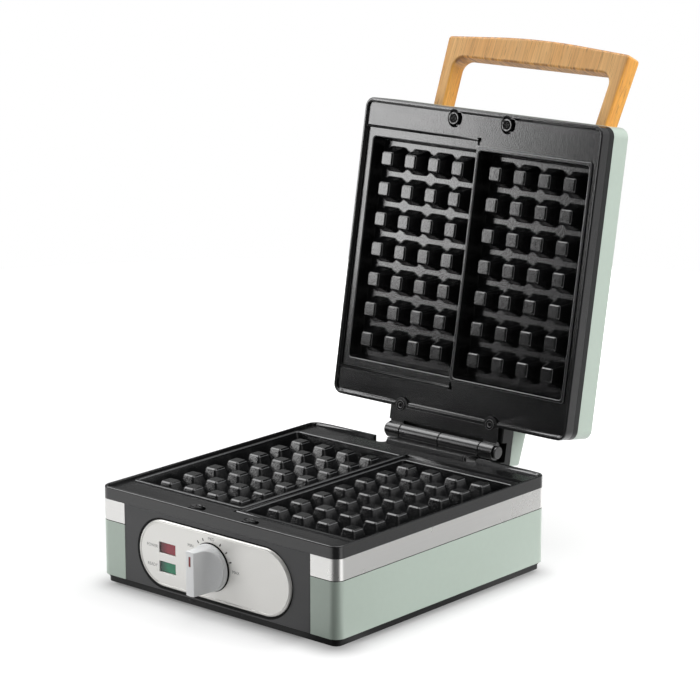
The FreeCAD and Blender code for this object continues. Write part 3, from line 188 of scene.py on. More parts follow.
def newMaterial(name):
    material = bpy.data.materials.new(name)
    material.use_nodes = True
    return material, material.node_tree, material.node_tree.nodes["Principled BSDF"]


def addBump(tree, shader, height, strength, relief):
    bump = addNode(tree, "ShaderNodeBump", {"Strength": strength, "Distance": relief * mm})
    tree.links.new(height, bump.inputs["Height"])
    tree.links.new(bump.outputs["Normal"], shader.inputs["Normal"])


# what a finish has where it doesn't say otherwise; relief is in mm
plainLook = {"fine": 0.6, "stretch": (1, 1, 1), "marks": 14.0, "wearAndHighlightScale": 120.0, "wearAndHighlightReach": 0.5,
             "bump": 0.3, "relief": 0.02, "shader": {}}


def addFinish(name, own):
    look = {**plainLook, **own}
    material, tree, shader = newMaterial(name)
    grain = addEffect(tree, "grain", scale=look["grain"], fine=look["fine"], stretch=look["stretch"])
    marks = addEffect(tree, "marks", scale=look["marks"])
    colour = mixColour(tree, grain.outputs["Tone"], look["colour"], look["tint"])
    # edges painted lighter: partly worn paint and coating, partly a painted highlight
    if "wornAndHighlit" in look:
        wearAndHighlight = addEffect(tree, "wearAndHighlight", scale=look["wearAndHighlightScale"], reach=look["wearAndHighlightReach"])
        colour = mixColour(tree, wearAndHighlight.outputs["Mask"], colour, look["wornAndHighlit"])
    tree.links.new(colour, shader.inputs["Base Color"])
    tree.links.new(spread(tree, marks.outputs["Mask"], 0, 1, *look["rough"]), shader.inputs["Roughness"])
    addBump(tree, shader, grain.outputs["Height"], look["bump"], look["relief"])
    for socket, value in look["shader"].items():
        shader.inputs[socket].default_value = value
    return material


finishes = {
    # the mint paint's lighter edges are a painted highlight along its rounded edges
    "mint_paint": {"colour": (0.455, 0.535, 0.47), "tint": (0.467, 0.549, 0.483), "grain": 260.0,
                   "rough": (0.28, 0.35), "bump": 0.08, "relief": 0.03, "wornAndHighlit": (0.70, 0.77, 0.71),
                   "wearAndHighlightReach": 0.6, "shader": {"Coat Weight": 0.25, "Coat Roughness": 0.1}},
    "brushed_band": {"colour": (0.72, 0.715, 0.70), "tint": (0.75, 0.745, 0.73), "grain": 1.0,
                     "stretch": (14, 14, 2400), "rough": (0.26, 0.32), "bump": 0.08,
                     "shader": {"Metallic": 1.0}},
    "dark_plastic": {"colour": (0.051, 0.051, 0.053), "tint": (0.061, 0.061, 0.063), "grain": 1500.0,
                     "rough": (0.42, 0.52), "bump": 0.35, "relief": 0.03, "wornAndHighlit": (0.075, 0.075, 0.077)},
    "pan_black": {"colour": (0.012, 0.012, 0.0125), "tint": (0.018, 0.018, 0.0185), "grain": 1200.0,
                  "rough": (0.4, 0.5), "relief": 0.03, "shader": {"Specular IOR Level": 0.25}},
    "frame_black": {"colour": (0.011, 0.012, 0.0115), "tint": (0.016, 0.017, 0.0165), "grain": 900.0,
                    "rough": (0.3, 0.4), "bump": 0.2, "relief": 0.03, "wornAndHighlit": (0.06, 0.065, 0.062),
                    "wearAndHighlightReach": 0.35, "shader": {"Specular IOR Level": 0.25}},
    "silver_fascia": {"colour": (0.82, 0.81, 0.78), "tint": (0.86, 0.85, 0.82), "grain": 2200.0,
                      "rough": (0.3, 0.38), "bump": 0.1, "shader": {"Metallic": 0.45}},
    "lamp_glass": {"colour": (0.92, 0.9, 0.85), "tint": (0.96, 0.95, 0.92), "grain": 300.0,
                   "rough": (0.05, 0.1), "bump": 0.02},
    "pale_plastic": {"colour": (0.70, 0.67, 0.59), "tint": (0.75, 0.72, 0.64), "grain": 800.0,
                     "rough": (0.45, 0.55)},
    "sheet_steel": {"colour": (0.5, 0.5, 0.49), "tint": (0.6, 0.6, 0.59), "grain": 500.0,
                    "rough": (0.3, 0.45), "bump": 0.1, "shader": {"Metallic": 1.0}},
    "silver_plastic": {"colour": (0.88, 0.89, 0.895), "tint": (0.92, 0.93, 0.935), "grain": 2400.0,
                       "rough": (0.3, 0.34), "bump": 0.08},
    "red_mark": {"colour": (0.20, 0.02, 0.02), "tint": (0.26, 0.03, 0.03), "grain": 900.0,
                 "rough": (0.3, 0.4)},
    # the coating's lighter edges are a painted highlight along lips and ridges, partly worn coating
    "nonstick": {"colour": (0.005, 0.0052, 0.0055), "tint": (0.009, 0.0093, 0.0097), "grain": 700.0,
                 "fine": 0.12, "rough": (0.15, 0.2), "bump": 1.0, "relief": 0.11,
                 "wornAndHighlit": (0.09, 0.092, 0.094), "wearAndHighlightScale": 180.0, "wearAndHighlightReach": 0.85,
                 "shader": {"Specular IOR Level": 0.75}},
    "element_steel": {"colour": (0.16, 0.15, 0.14), "tint": (0.24, 0.22, 0.2), "grain": 240.0,
                      "rough": (0.4, 0.55), "shader": {"Metallic": 0.9}},
    "reflector_sheet": {"colour": (0.66, 0.66, 0.66), "tint": (0.74, 0.74, 0.74), "grain": 120.0,
                        "rough": (0.2, 0.34), "shader": {"Metallic": 1.0}},
    # the screws' light slot edges are a painted highlight in the socket, partly worn bare metal
    "black_screw": {"colour": (0.004, 0.004, 0.0042), "tint": (0.008, 0.008, 0.0084), "grain": 900.0,
                    "rough": (0.35, 0.45), "wornAndHighlit": (0.28, 0.28, 0.28), "wearAndHighlightReach": 0.8,
                    "shader": {"Specular IOR Level": 0.06}},
    "lead_sleeve": {"colour": (0.42, 0.05, 0.03), "tint": (0.5, 0.08, 0.05), "grain": 600.0,
                    "rough": (0.45, 0.6)},
    "foot_rubber": {"colour": (0.018, 0.018, 0.018), "tint": (0.03, 0.03, 0.03), "grain": 700.0,
                    "rough": (0.65, 0.8)},
    "hinge_paint": {"colour": (0.007, 0.007, 0.0073), "tint": (0.012, 0.012, 0.0125), "grain": 900.0,
                    "rough": (0.2, 0.27), "bump": 0.2, "wornAndHighlit": (0.09, 0.09, 0.09), "wearAndHighlightReach": 0.4,
                    "shader": {"Specular IOR Level": 0.8}},
    "print_grey": {"colour": (0.13, 0.13, 0.13), "tint": (0.17, 0.17, 0.17), "grain": 900.0,
                   "rough": (0.45, 0.55)},
    "print_black": {"colour": (0.02, 0.02, 0.02), "tint": (0.03, 0.03, 0.03), "grain": 900.0,
                    "rough": (0.45, 0.55)},
    "shadow_gap": {"colour": (0.006, 0.006, 0.006), "tint": (0.01, 0.01, 0.01), "grain": 600.0,
                   "rough": (0.6, 0.7), "shader": {"Specular IOR Level": 0.15}},
}
materials = {name: addFinish(name, look) for name, look in finishes.items()}

# lamp lenses: ribbed, with a tint that darkens towards the left, a painted shade
lensGlass = {"grain": 260.0, "fine": 0.5, "thin": 1.5, "thick": -8.5, "rough": (0.16, 0.24), "ribs": 180.0,
             "bump": 0.25, "relief": 0.12, "coat": 0.3, "coatRough": 0.06}


def lensMaterial(name, look):
    material, tree, shader = newMaterial(name)
    grain = addEffect(tree, "grain", scale=lensGlass["grain"], fine=lensGlass["fine"])
    place = objectPlace(tree)
    middle = addNode(tree, "ShaderNodeMapping", {"Location": tuple(-side * mm for side in look["middle"])})
    tree.links.new(place, middle.inputs["Vector"])
    axes = tree.nodes.new("ShaderNodeSeparateXYZ")
    tree.links.new(middle.outputs["Vector"], axes.inputs[0])
    # the lens darkens towards the left to its deep colour: painted shade
    deep = spread(tree, axes.outputs["X"], lensGlass["thin"] * mm, lensGlass["thick"] * mm, kind="SMOOTHSTEP")
    colour = mixColour(tree, grain.outputs["Tone"], look["colour"], look["tint"])
    colour = mixColour(tree, deep, colour, look["deep"])
    tree.links.new(colour, shader.inputs["Base Color"])
    tree.links.new(spread(tree, grain.outputs["Tone"], 0, 1, *lensGlass["rough"]), shader.inputs["Roughness"])
    ribs = addNode(tree, "ShaderNodeTexWave", {"Scale": lensGlass["ribs"], "Distortion": 0.0},
                   bands_direction="X")
    tree.links.new(place, ribs.inputs["Vector"])
    addBump(tree, shader, ribs.outputs["Fac"], lensGlass["bump"], lensGlass["relief"])
    shader.inputs["Coat Weight"].default_value = lensGlass["coat"]
    shader.inputs["Coat Roughness"].default_value = lensGlass["coatRough"]
    return material


# each lens's deep colour is its painted shade at the left
lenses = {
    "red_lens": {"middle": (-49.5, -130, 45.1), "colour": (0.27, 0.02, 0.035), "tint": (0.33, 0.03, 0.05),
                 "deep": (0.09, 0.012, 0.016)},
    "green_lens": {"middle": (-49.5, -130, 29.5), "colour": (0.006, 0.19, 0.09), "tint": (0.012, 0.25, 0.13),
                   "deep": (0.012, 0.06, 0.045)},
}
for name, look in lenses.items():
    materials[name] = lensMaterial(name, look)

# the handle's wood: a kind of streak has a scale for each axis, its detail and the noise that it keeps
wood = {
    "lean": 25, "streakRough": 0.6, "waver": 0.25,
    "bands": {"scale": (70, 90, 5), "detail": 3.0, "keeps": (0.32, 0.68)},
    "fibres": {"scale": (820, 500, 14), "detail": 4.0, "keeps": (0.38, 0.68)},
    "pores": {"scale": (1300, 1100, 45), "detail": 2.0, "keeps": (0.6, 0.7)},
    "dashes": {"scale": (460, 60, 60), "detail": 3.0, "keeps": (0.36, 0.62)},
    "pale": (0.95, 0.58, 0.24), "warm": (0.88, 0.475, 0.168),
    "brown": (0.40, 0.17, 0.06), "dark": (0.17, 0.065, 0.022),
    "shadedFlank": (0.88, 0.44, 0.075), "shadedFlankWarm": (0.78, 0.33, 0.045),
    "endWarm": (0.9, 0.46, 0.13), "endGrain": (0.4, 0.18, 0.06),
    "fibreShare": 0.5, "poreShare": 0.6, "rough": (0.36, 0.5), "bump": 0.25, "relief": 0.06,
    "coat": 0.15, "coatRough": 0.25,
}


def woodMaterial(name):
    material, tree, shader = newMaterial(name)
    turned = addNode(tree, "ShaderNodeMapping", {"Rotation": (math.radians(wood["lean"]), 0, 0)})
    tree.links.new(objectPlace(tree), turned.inputs["Vector"])

    def streaks(kind):
        stretched = addNode(tree, "ShaderNodeMapping", {"Scale": kind["scale"]})
        tree.links.new(turned.outputs["Vector"], stretched.inputs["Vector"])
        noise = addNode(tree, "ShaderNodeTexNoise", {"Scale": 1.0, "Detail": kind["detail"],
                                                     "Roughness": wood["streakRough"],
                                                     "Distortion": wood["waver"]})
        tree.links.new(stretched.outputs["Vector"], noise.inputs["Vector"])
        return spread(tree, noise.outputs["Fac"], *kind["keeps"])

    def attribute(name):
        return addNode(tree, "ShaderNodeAttribute", attribute_name=name).outputs["Fac"]

    bands, fibres = streaks(wood["bands"]), streaks(wood["fibres"])
    pores, dashes = streaks(wood["pores"]), streaks(wood["dashes"])
    colour = mixColour(tree, bands, wood["pale"], wood["warm"])
    # the flanks take a more saturated orange: painted shade
    shadedFlankColour = mixColour(tree, bands, wood["shadedFlank"], wood["shadedFlankWarm"])
    colour = mixColour(tree, attribute("shadedFlank"), colour, shadedFlankColour)
    colour = mixColour(tree, combine(tree, "MULTIPLY", fibres, wood["fibreShare"]), colour, wood["brown"])
    colour = mixColour(tree, combine(tree, "MULTIPLY", pores, wood["poreShare"]), colour, wood["dark"])
    ends = attribute("ends")
    # the end grain is real, but its warm colour is made light: painted light that lifts the shaded underside
    colour = mixColour(tree, ends, colour, wood["endWarm"])
    colour = mixColour(tree, combine(tree, "MULTIPLY", ends, dashes), colour, wood["endGrain"])
    tree.links.new(colour, shader.inputs["Base Color"])
    tree.links.new(spread(tree, fibres, 0, 1, *wood["rough"]), shader.inputs["Roughness"])
    addBump(tree, shader, combine(tree, "SUBTRACT", fibres, pores), wood["bump"], wood["relief"])
    shader.inputs["Coat Weight"].default_value = wood["coat"]
    shader.inputs["Coat Roughness"].default_value = wood["coatRough"]
    return material


materials["handle_wood"] = woodMaterial("handle_wood")
print("materials:", len(materials))


# pieces are shaped in a bmesh whose faces carry an edge mark, for the worn edges and the painted highlights
# along them
crease = {"cad": 28, "modelled": 35}  # degrees past which an edge is rounded
weld = {"cad": 0.02, "flat": 1, "least": 0.002}  # merging distances in mm; flat is in degrees


def newForm():
    form = bmesh.new()
    form.faces.layers.float.new("edge")
    return form


def cadCopy(name):
    form = newForm()
    form.from_mesh(nodes[name].data)
    bmesh.ops.remove_doubles(form, verts=form.verts, dist=weld["cad"] * mm)
    bmesh.ops.dissolve_limit(form, angle_limit=math.radians(weld["flat"]), verts=form.verts, edges=form.edges)
    return form


def newVerts(made):
    return [item for item in made["geom"] if isinstance(item, bmesh.types.BMVert)]


def sharpEdges(form, angle=crease["cad"]):
    limit = math.radians(angle)
    return [edge for edge in form.edges if len(edge.link_faces) == 2 and edge.calc_face_angle(0) > limit]


def roundEdges(form, edges, width, segments=3, mark=1.0):
    made = bmesh.ops.bevel(form, geom=edges, offset=width * mm, offset_type="OFFSET", affect="EDGES",
                           segments=segments, profile=0.5, material=-1, clamp_overlap=True)
    layer = form.faces.layers.float["edge"]
    for face in made["faces"]:
        face[layer] = mark


def addPiece(form, name, body, slot, stands=(), material=None, sharp=40):
    mesh = bpy.data.meshes.new(name)
    bmesh.ops.dissolve_degenerate(form, dist=weld["least"] * mm, edges=form.edges)
    form.to_mesh(mesh)
    form.free()
    mesh.shade_smooth()
    mesh.set_sharp_from_angle(angle=math.radians(sharp))
    mesh.materials.append(materials[material or slot])
    piece = bpy.data.objects.new(name, mesh)
    scene.collection.objects.link(piece)
    even = piece.modifiers.new("evenNormals", "WEIGHTED_NORMAL")
    even.keep_sharp = True
    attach(piece, body)
    if stands:
        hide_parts(*stands)


# a piece that takes the place of one CAD node of its body
def addSoft(form, node, material=None):
    addPiece(form, "soft_" + node, bodyOf[node], slotOf[node], [node], material)


# copies of CAD nodes with their edges rounded
rounded = {
    "base_pan": {"width": 0.6, "material": "pan_black"},
    "foot_pads": {"width": 0.8},
    "lower_wrap": {"width": 0.6, "mark": 0.0},
    "trim_band": {"width": 0.5},
    "front_panel": {"width": 0.5},
    "control_fascia": {"width": 0.7},
    "cable_gland": {"width": 0.8},
    "base_hinge_block": {"width": 0.8},
    "hinge_pin": {"width": 0.3, "segments": 2},
    "hinge_pin_caps": {"width": 0.8},
    "hinge_block_screws": {"width": 0.25, "segments": 2},
    "base_screws": {"width": 0.25, "segments": 2},
    "hinge_screws": {"width": 0.3, "segments": 2},
    "lid_hinge_leaf": {"width": 0.7},
    "lid_frame": {"width": 0.6, "material": "frame_black"},
    "lid_shell": {"width": 0.6},
    "handle_mounts": {"width": 0.8, "material": "frame_black"},
}
for node, edge in rounded.items():
    form = cadCopy(node)
    roundEdges(form, sharpEdges(form), edge["width"], edge.get("segments", 3), edge.get("mark", 1.0))
    addSoft(form, node, edge.get("material"))
print("rounded copies:", len(rounded))

# handle: its flanks, which take a painted shade colour, and its end grain are marked for the wood, by a start
# and a span of a face's tilt
handle = {"edge": 0.8, "shadedFlank": (0.35, 0.4), "ends": (0.15, 0.3)}


def tiltShare(tilt, start, span):
    return min(1.0, max(0.0, (abs(tilt) - start) / span))


form = cadCopy("handle")
roundEdges(form, sharpEdges(form), handle["edge"])
shadedFlank = form.faces.layers.float.new("shadedFlank")
ends = form.faces.layers.float.new("ends")
lean = math.radians(wood["lean"])
upward = Vector((0, math.sin(lean), math.cos(lean)))
form.normal_update()
for face in form.faces:
    face[shadedFlank] = tiltShare(face.normal.x, *handle["shadedFlank"])
    face[ends] = tiltShare(face.normal.dot(upward), *handle["ends"])
addPiece(form, "handleBail", bodyOf["handle"], slotOf["handle"], ["handle"])

# a dark sheet in the seam between the band and the wrap: painted shade that darkens the seam line
seamShade = {"low": 54.2, "high": 55.4, "half": (124.8, 128.3), "corner": 8.3, "cornerSegments": 8}
form = newForm()
tall = seamShade["high"] - seamShade["low"]
bmesh.ops.create_cube(form, size=2, matrix=Matrix.Translation((0, 0, (seamShade["low"] + tall / 2) * mm))
                      @ Matrix.Diagonal((*(side * mm for side in seamShade["half"]), tall / 2 * mm, 1)))
uprights = [edge for edge in form.edges if abs(edge.verts[0].co.z - edge.verts[1].co.z) > tall / 2 * mm]
bmesh.ops.bevel(form, geom=uprights, offset=seamShade["corner"] * mm, affect="EDGES",
                segments=seamShade["cornerSegments"], profile=0.5, material=-1)
addPiece(form, "seamShadeSheet", "base", "dark_plastic", material="shadow_gap")
print("handle and seam done")

# grill plates: a tray and a set of studs made for the base, and swung over for the lid
plate = {
    "lip": 82.2, "deck": 79.9, "moulds": (81.3, 78.3), "floor": 65.2, "slack": 0.05,  # levels
    "lipRound": 1.1, "lipSegments": 4, "mouldRound": 0.7, "mouldY": 99, "floorRound": 0.9,  # roundings
    "edge": 0.4, "room": 0.95,  # the other edges, where they have room
    "screw": (28, -119.5), "boss": 5.5, "bossRound": 0.4, "mouth": 4.3, "mouthDeep": 0.5, "clear": 9.5,
    "hingeCut": (48, 128), "cutClear": 9,
    "rimY": 125.2, "rimStep": 4.0, "rimLean": 0.9857, "longEdge": 15,
    "beadTop": 80.6, "beadY": 104.1, "beadNarrow": 0.35,
    "columns": (19.9, 45.4, 70.9, 96.4), "rows": (-78, -52, -26, 0, 26, 52, 78),  # the studs' places
    "lidMiddle": (0, 174.40, 230.14), "lidTurn": -100,  # the place of the lid's plate
    "sharp": 50,  # degrees past which an edge is shaded as a hard one
}
swing = Matrix.Translation(Vector(plate["lidMiddle"]) * mm)
swing = swing @ Matrix.Rotation(math.radians(plate["lidTurn"]), 4, "X")
swing = swing @ Matrix.Rotation(math.radians(180), 4, "Y") @ Matrix.Translation((0, 0, -plate["lip"] * mm))


def vertAt(vert, high):
    return abs(vert.co.z - high * mm) < plate["slack"] * mm


def edgeAt(edge, high):
    return all(vertAt(vert, high) for vert in edge.verts)


def nearPoint(vert, point, reach):
    x, y = point
    return math.hypot(abs(vert.co.x) - x * mm, vert.co.y - y * mm) < reach * mm


def nearScrew(vert, reach):
    return nearPoint(vert, plate["screw"], reach)


def nearCut(vert):
    return nearScrew(vert, plate["clear"]) or nearPoint(vert, plate["hingeCut"], plate["cutClear"])


def isRimFoot(vert):
    return vertAt(vert, plate["deck"]) and abs(vert.co.y) > plate["rimY"] * mm


def narrowBeads(form):
    for side in (-1, 1):
        crest = [vert for vert in form.verts if vertAt(vert, plate["beadTop"]) and vert.co.y * side > 0]
        middle = Matrix.Translation((0, -side * plate["beadY"] * mm, 0))
        bmesh.ops.scale(form, verts=crest, vec=(1, plate["beadNarrow"], 1), space=middle)


# the walls of the rim lean inwards, apart from a short step beside each screw
def leanRim(form):
    for vert in [vert for vert in form.verts if isRimFoot(vert) and nearScrew(vert, plate["clear"])]:
        runs = [edge for edge in vert.link_edges
                if edge.calc_length() > plate["longEdge"] * mm and all(map(isRimFoot, edge.verts))]
        for edge in runs:
            bmesh.utils.edge_split(edge, vert, plate["rimStep"] * mm / edge.calc_length())
    foot = [vert for vert in form.verts if isRimFoot(vert) and not nearScrew(vert, plate["clear"])]
    bmesh.ops.scale(form, verts=foot, vec=(1, plate["rimLean"], 1))


def roomBeside(edge):
    return min(near.calc_length() for vert in edge.verts for near in vert.link_edges)


def trayForm():
    form = cadCopy("lower_grill_plate")
    narrowBeads(form)
    leanRim(form)
    roots = [edge for edge in sharpEdges(form) if edgeAt(edge, plate["floor"])]
    roundEdges(form, roots, plate["floorRound"], mark=0.0)
    mouths = [vert for vert in form.verts if vertAt(vert, plate["lip"]) and nearScrew(vert, plate["mouth"])]
    bmesh.ops.translate(form, verts=mouths, vec=(0, 0, -plate["mouthDeep"] * mm))
    bosses = [edge for edge in sharpEdges(form) if edgeAt(edge, plate["lip"])
              and all(nearScrew(vert, plate["boss"]) for vert in edge.verts)]
    roundEdges(form, bosses, plate["bossRound"], mark=0.0)
    lips = [edge for edge in sharpEdges(form) if edgeAt(edge, plate["lip"])
            and not any(nearCut(vert) for vert in edge.verts)]
    roundEdges(form, lips, plate["lipRound"], plate["lipSegments"], mark=0.0)
    moulds = [edge for edge in sharpEdges(form) if any(edgeAt(edge, high) for high in plate["moulds"])
              and all(abs(vert.co.y) < plate["mouldY"] * mm for vert in edge.verts)]
    roundEdges(form, moulds, plate["mouldRound"])
    corners = [edge for edge in sharpEdges(form) if roomBeside(edge) > plate["room"] * mm]
    roundEdges(form, corners, plate["edge"])  # one tight edge would flatten them all
    return form


# each level of a stud is its height, half its width and its corners' size
stud = {"cornerSegments": 4, "slack": 0.02, "crease": (13.6, 14.2), "sideways": 0.7,
        "levels": ((0, 11.0, 4.8), (0.35, 10.55, 4.7), (1.0, 10.2, 4.5), (13.7, 6.15, 1.9),
                   (13.95, 6.03, 1.85), (14.15, 5.85, 1.75), (14.85, 5.15, 1.3), (15.0, 5.0, 1.2),
                   (15.1, 4.75, 1.05))}


def studRim(form, high):
    return [edge for edge in form.edges
            if all(abs(vert.co.z - high * mm) < stud["slack"] * mm for vert in edge.verts)]


def studForm():
    form = newForm()
    turned = Matrix.Rotation(math.radians(45), 4, "Z")
    for high, half, corner in stud["levels"]:
        made = bmesh.ops.create_circle(form, cap_ends=True, segments=4, radius=half * math.sqrt(2) * mm,
                                       matrix=Matrix.Translation((0, 0, high * mm)) @ turned)
        bmesh.ops.bevel(form, geom=made["verts"], offset=corner * mm, offset_type="OFFSET", affect="VERTICES",
                        segments=stud["cornerSegments"], profile=0.5, material=-1)
    heights = [high for high, half, corner in stud["levels"]]
    rims = [studRim(form, high) for high in heights]
    low, high = heights[0] + stud["slack"], heights[-1] - stud["slack"]
    between = [face for face in form.faces if low * mm < face.calc_center_median().z < high * mm]
    bmesh.ops.delete(form, geom=between, context="FACES_ONLY")
    for below, above in zip(rims, rims[1:]):
        bmesh.ops.bridge_loops(form, edges=below + above)
    bmesh.ops.recalc_face_normals(form, faces=form.faces)
    # faces at the flanks' crease that face left and right get the edge mark, so the lighter edge colour
    # paints a highlight line there
    layer = form.faces.layers.float["edge"]
    low, high = stud["crease"]
    for face in form.faces:
        creaseHighlight = low * mm < face.calc_center_median().z < high * mm and abs(face.normal.x) > stud["sideways"]
        face[layer] = 1.0 if creaseHighlight else 0.0
    return form


def studSet():
    one = bpy.data.meshes.new("stud")
    form = studForm()
    form.to_mesh(one)
    form.free()
    form = newForm()
    for x in plate["columns"]:
        for y in plate["rows"]:
            for side in (-1, 1):
                first = len(form.verts)
                form.from_mesh(one)
                form.verts.ensure_lookup_table()
                place = Vector((side * x, y, plate["floor"])) * mm
                bmesh.ops.translate(form, verts=form.verts[first:], vec=place)
    return form


screwHead = {"crown": 1.3, "crownSegments": 5, "rim": 3.2, "slot": 0.2, "slotSegments": 2}


def screwForm(node, place):
    form = cadCopy(node)
    bmesh.ops.transform(form, matrix=place.inverted(), verts=form.verts)
    top = max(vert.co.z for vert in form.verts) - plate["slack"] * mm
    crowns = [edge for edge in sharpEdges(form)
              if all(vert.co.z > top and not nearScrew(vert, screwHead["rim"]) for vert in edge.verts)]
    roundEdges(form, crowns, screwHead["crown"], screwHead["crownSegments"], mark=0.0)
    roundEdges(form, sharpEdges(form), screwHead["slot"], screwHead["slotSegments"])
    bmesh.ops.transform(form, matrix=place, verts=form.verts)
    return form


for side, place in (("lower", Matrix()), ("upper", swing)):
    for make, suffix, node in ((trayForm, "Tray", "_grill_plate"), (studSet, "Studs", "_grill_studs")):
        form = make()
        bmesh.ops.transform(form, matrix=place, verts=form.verts)
        addPiece(form, side + suffix, bodyOf[side + node], "nonstick", [side + node], sharp=plate["sharp"])
    screws = side + "_plate_screws"
    addSoft(screwForm(screws, place), screws)
print("grill plates done")

# lamp lenses, set back a little in their windows
lens = {"setBack": 1.6, "skin": 0.1, "edge": 0.5}
for node in ("power_lamp_lens", "ready_lamp_lens"):
    form = cadCopy(node)
    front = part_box(node)[0].y
    face = [vert for vert in form.verts if vert.co.y < front + lens["skin"] * mm]
    bmesh.ops.translate(form, verts=face, vec=(0, lens["setBack"] * mm, 0))
    roundEdges(form, sharpEdges(form), lens["edge"])
    addSoft(form, node)

# temperature knob: a disc with a grip whose flanks sweep out to the rim
knob = {"x": -2.5, "z": 40.4, "back": -131.5, "segments": 96, "skirt": 19.0, "skirtDepth": 2.8,
        "skirtEdge": 0.6, "radius": 18.2, "inside": 0.02, "rim": 4.6, "front": 22.3, "gripHalf": 4.3,
        "flare": 0.5, "sweep": 12.0, "sweepSteps": 16, "shoulderCuts": 9, "edge": 0.7, "edgeFrom": 0.5,
        "mark": (1.9, 0.35, 8.0), "markTop": 4.2, "markLift": 0.02, "markEdge": 0.12, "markSegments": 2}
knobPlace = Matrix.Translation((knob["x"] * mm, knob["back"] * mm, knob["z"] * mm))
frontward = Matrix.Rotation(math.radians(90), 4, "X")  # lays a shape made flat against the front


# half of the grip's outline is drawn, mirrored, and stretched up and down to the disc's rim
def knobGrip():
    form = newForm()
    side = knob["gripHalf"] + knob["flare"]
    centre = Vector((side + knob["sweep"], -(knob["rim"] + knob["sweep"]), 0)) * mm
    start = form.verts.new(Vector((side, centre.y / mm, 0)) * mm)
    bmesh.ops.spin(form, geom=[start], cent=centre, axis=(0, 0, 1), angle=math.radians(-90),
                   steps=knob["sweepSteps"], use_merge=False)
    curve = sorted(form.verts, key=lambda vert: vert.co.x)
    first = form.verts.new(Vector((knob["gripHalf"], -knob["front"], 0)) * mm)
    middle = form.verts.new(Vector((0, -knob["front"], 0)) * mm)
    last = form.verts.new(Vector((knob["radius"] - knob["inside"], -knob["rim"], 0)) * mm)
    for one, other in ((middle, first), (first, curve[0]), (curve[-1], last)):
        form.edges.new((one, other))
    shoulder = [edge for edge in form.edges if last in edge.verts]
    bmesh.ops.subdivide_edges(form, edges=shoulder, cuts=knob["shoulderCuts"])
    bmesh.ops.mirror(form, geom=form.verts[:] + form.edges[:], axis="X", merge_dist=weld["least"] / 2 * mm)
    for vert in form.verts:
        vert.co.z = math.sqrt((knob["radius"] * mm) ** 2 - vert.co.x ** 2)
    for vert in newVerts(bmesh.ops.extrude_edge_only(form, edges=form.edges[:])):
        vert.co.z = -vert.co.z
    rimEdges = [edge for edge in form.edges if edge.is_boundary]
    for vert in newVerts(bmesh.ops.extrude_edge_only(form, edges=rimEdges)):
        vert.co.y = -knob["skirtDepth"] * mm
    bmesh.ops.remove_doubles(form, verts=form.verts, dist=weld["least"] * mm)
    bmesh.ops.holes_fill(form, edges=[edge for edge in form.edges if edge.is_boundary], sides=0)
    bmesh.ops.recalc_face_normals(form, faces=form.faces)
    before = -(knob["rim"] + knob["edgeFrom"]) * mm
    sharp = sharpEdges(form, crease["modelled"])
    grip = [edge for edge in sharp if all(vert.co.y < before for vert in edge.verts)]
    roundEdges(form, grip, knob["edge"])
    return form


def discForm(radius, thick, place):
    form = newForm()
    bmesh.ops.create_cone(form, cap_ends=True, segments=knob["segments"], radius1=radius * mm,
                          radius2=radius * mm, depth=thick * mm, matrix=place @ frontward)
    return form


form = knobGrip()
skirtPlace = Matrix.Translation((0, -knob["skirtDepth"] / 2 * mm, 0))
skirt = discForm(knob["skirt"], knob["skirtDepth"], skirtPlace)
roundEdges(skirt, sharpEdges(skirt, crease["modelled"]), knob["skirtEdge"])
skirtMesh = bpy.data.meshes.new("skirt")
skirt.to_mesh(skirtMesh)
skirt.free()
form.from_mesh(skirtMesh)
bmesh.ops.transform(form, matrix=knobPlace, verts=form.verts)
addPiece(form, "knobShell", "knob", "silver_plastic", ["temperature_knob"])

width, proud, tall = knob["mark"]
markMiddle = Vector((0, -knob["front"] - knob["markLift"], knob["radius"] - knob["markTop"] - tall / 2)) * mm
form = newForm()
bmesh.ops.create_cube(form, size=1, matrix=knobPlace @ Matrix.Translation(markMiddle)
                      @ Matrix.Diagonal((width * mm, proud * mm, tall * mm, 1)))
roundEdges(form, form.edges[:], knob["markEdge"], knob["markSegments"])
addPiece(form, "knobMark", "knob", "red_mark", ["knob_pointer"])

# a dark ring on the fascia round the knob's disc: a painted shadow
knobShade = {"radius": 19.5, "thick": 0.35, "back": -130.5}
knobShadeY = (knobShade["back"] - knobShade["thick"] / 2) * mm
knobShadePlace = Matrix.Translation((knob["x"] * mm, knobShadeY, knob["z"] * mm))
form = discForm(knobShade["radius"], knobShade["thick"], knobShadePlace)
addPiece(form, "knobShadowRing", "base", "dark_plastic", material="shadow_gap")
print("knob done")

# a bead inside the fascia's edge, and a dark ring round the fascia, shifted left and down: a painted shadow
# line
bead = {"width": 161, "height": 54.3, "segments": 62, "front": -130.5, "inset": 1.4, "wide": 1.0,
        "proud": 0.5, "sunk": 0.1, "edge": 0.35, "shadowWide": 1.9, "shadowUnder": 0.2, "shadowDeep": 0.15,
        "shadowFront": -128.62, "shadowShift": (-1.5, 0, -0.9)}


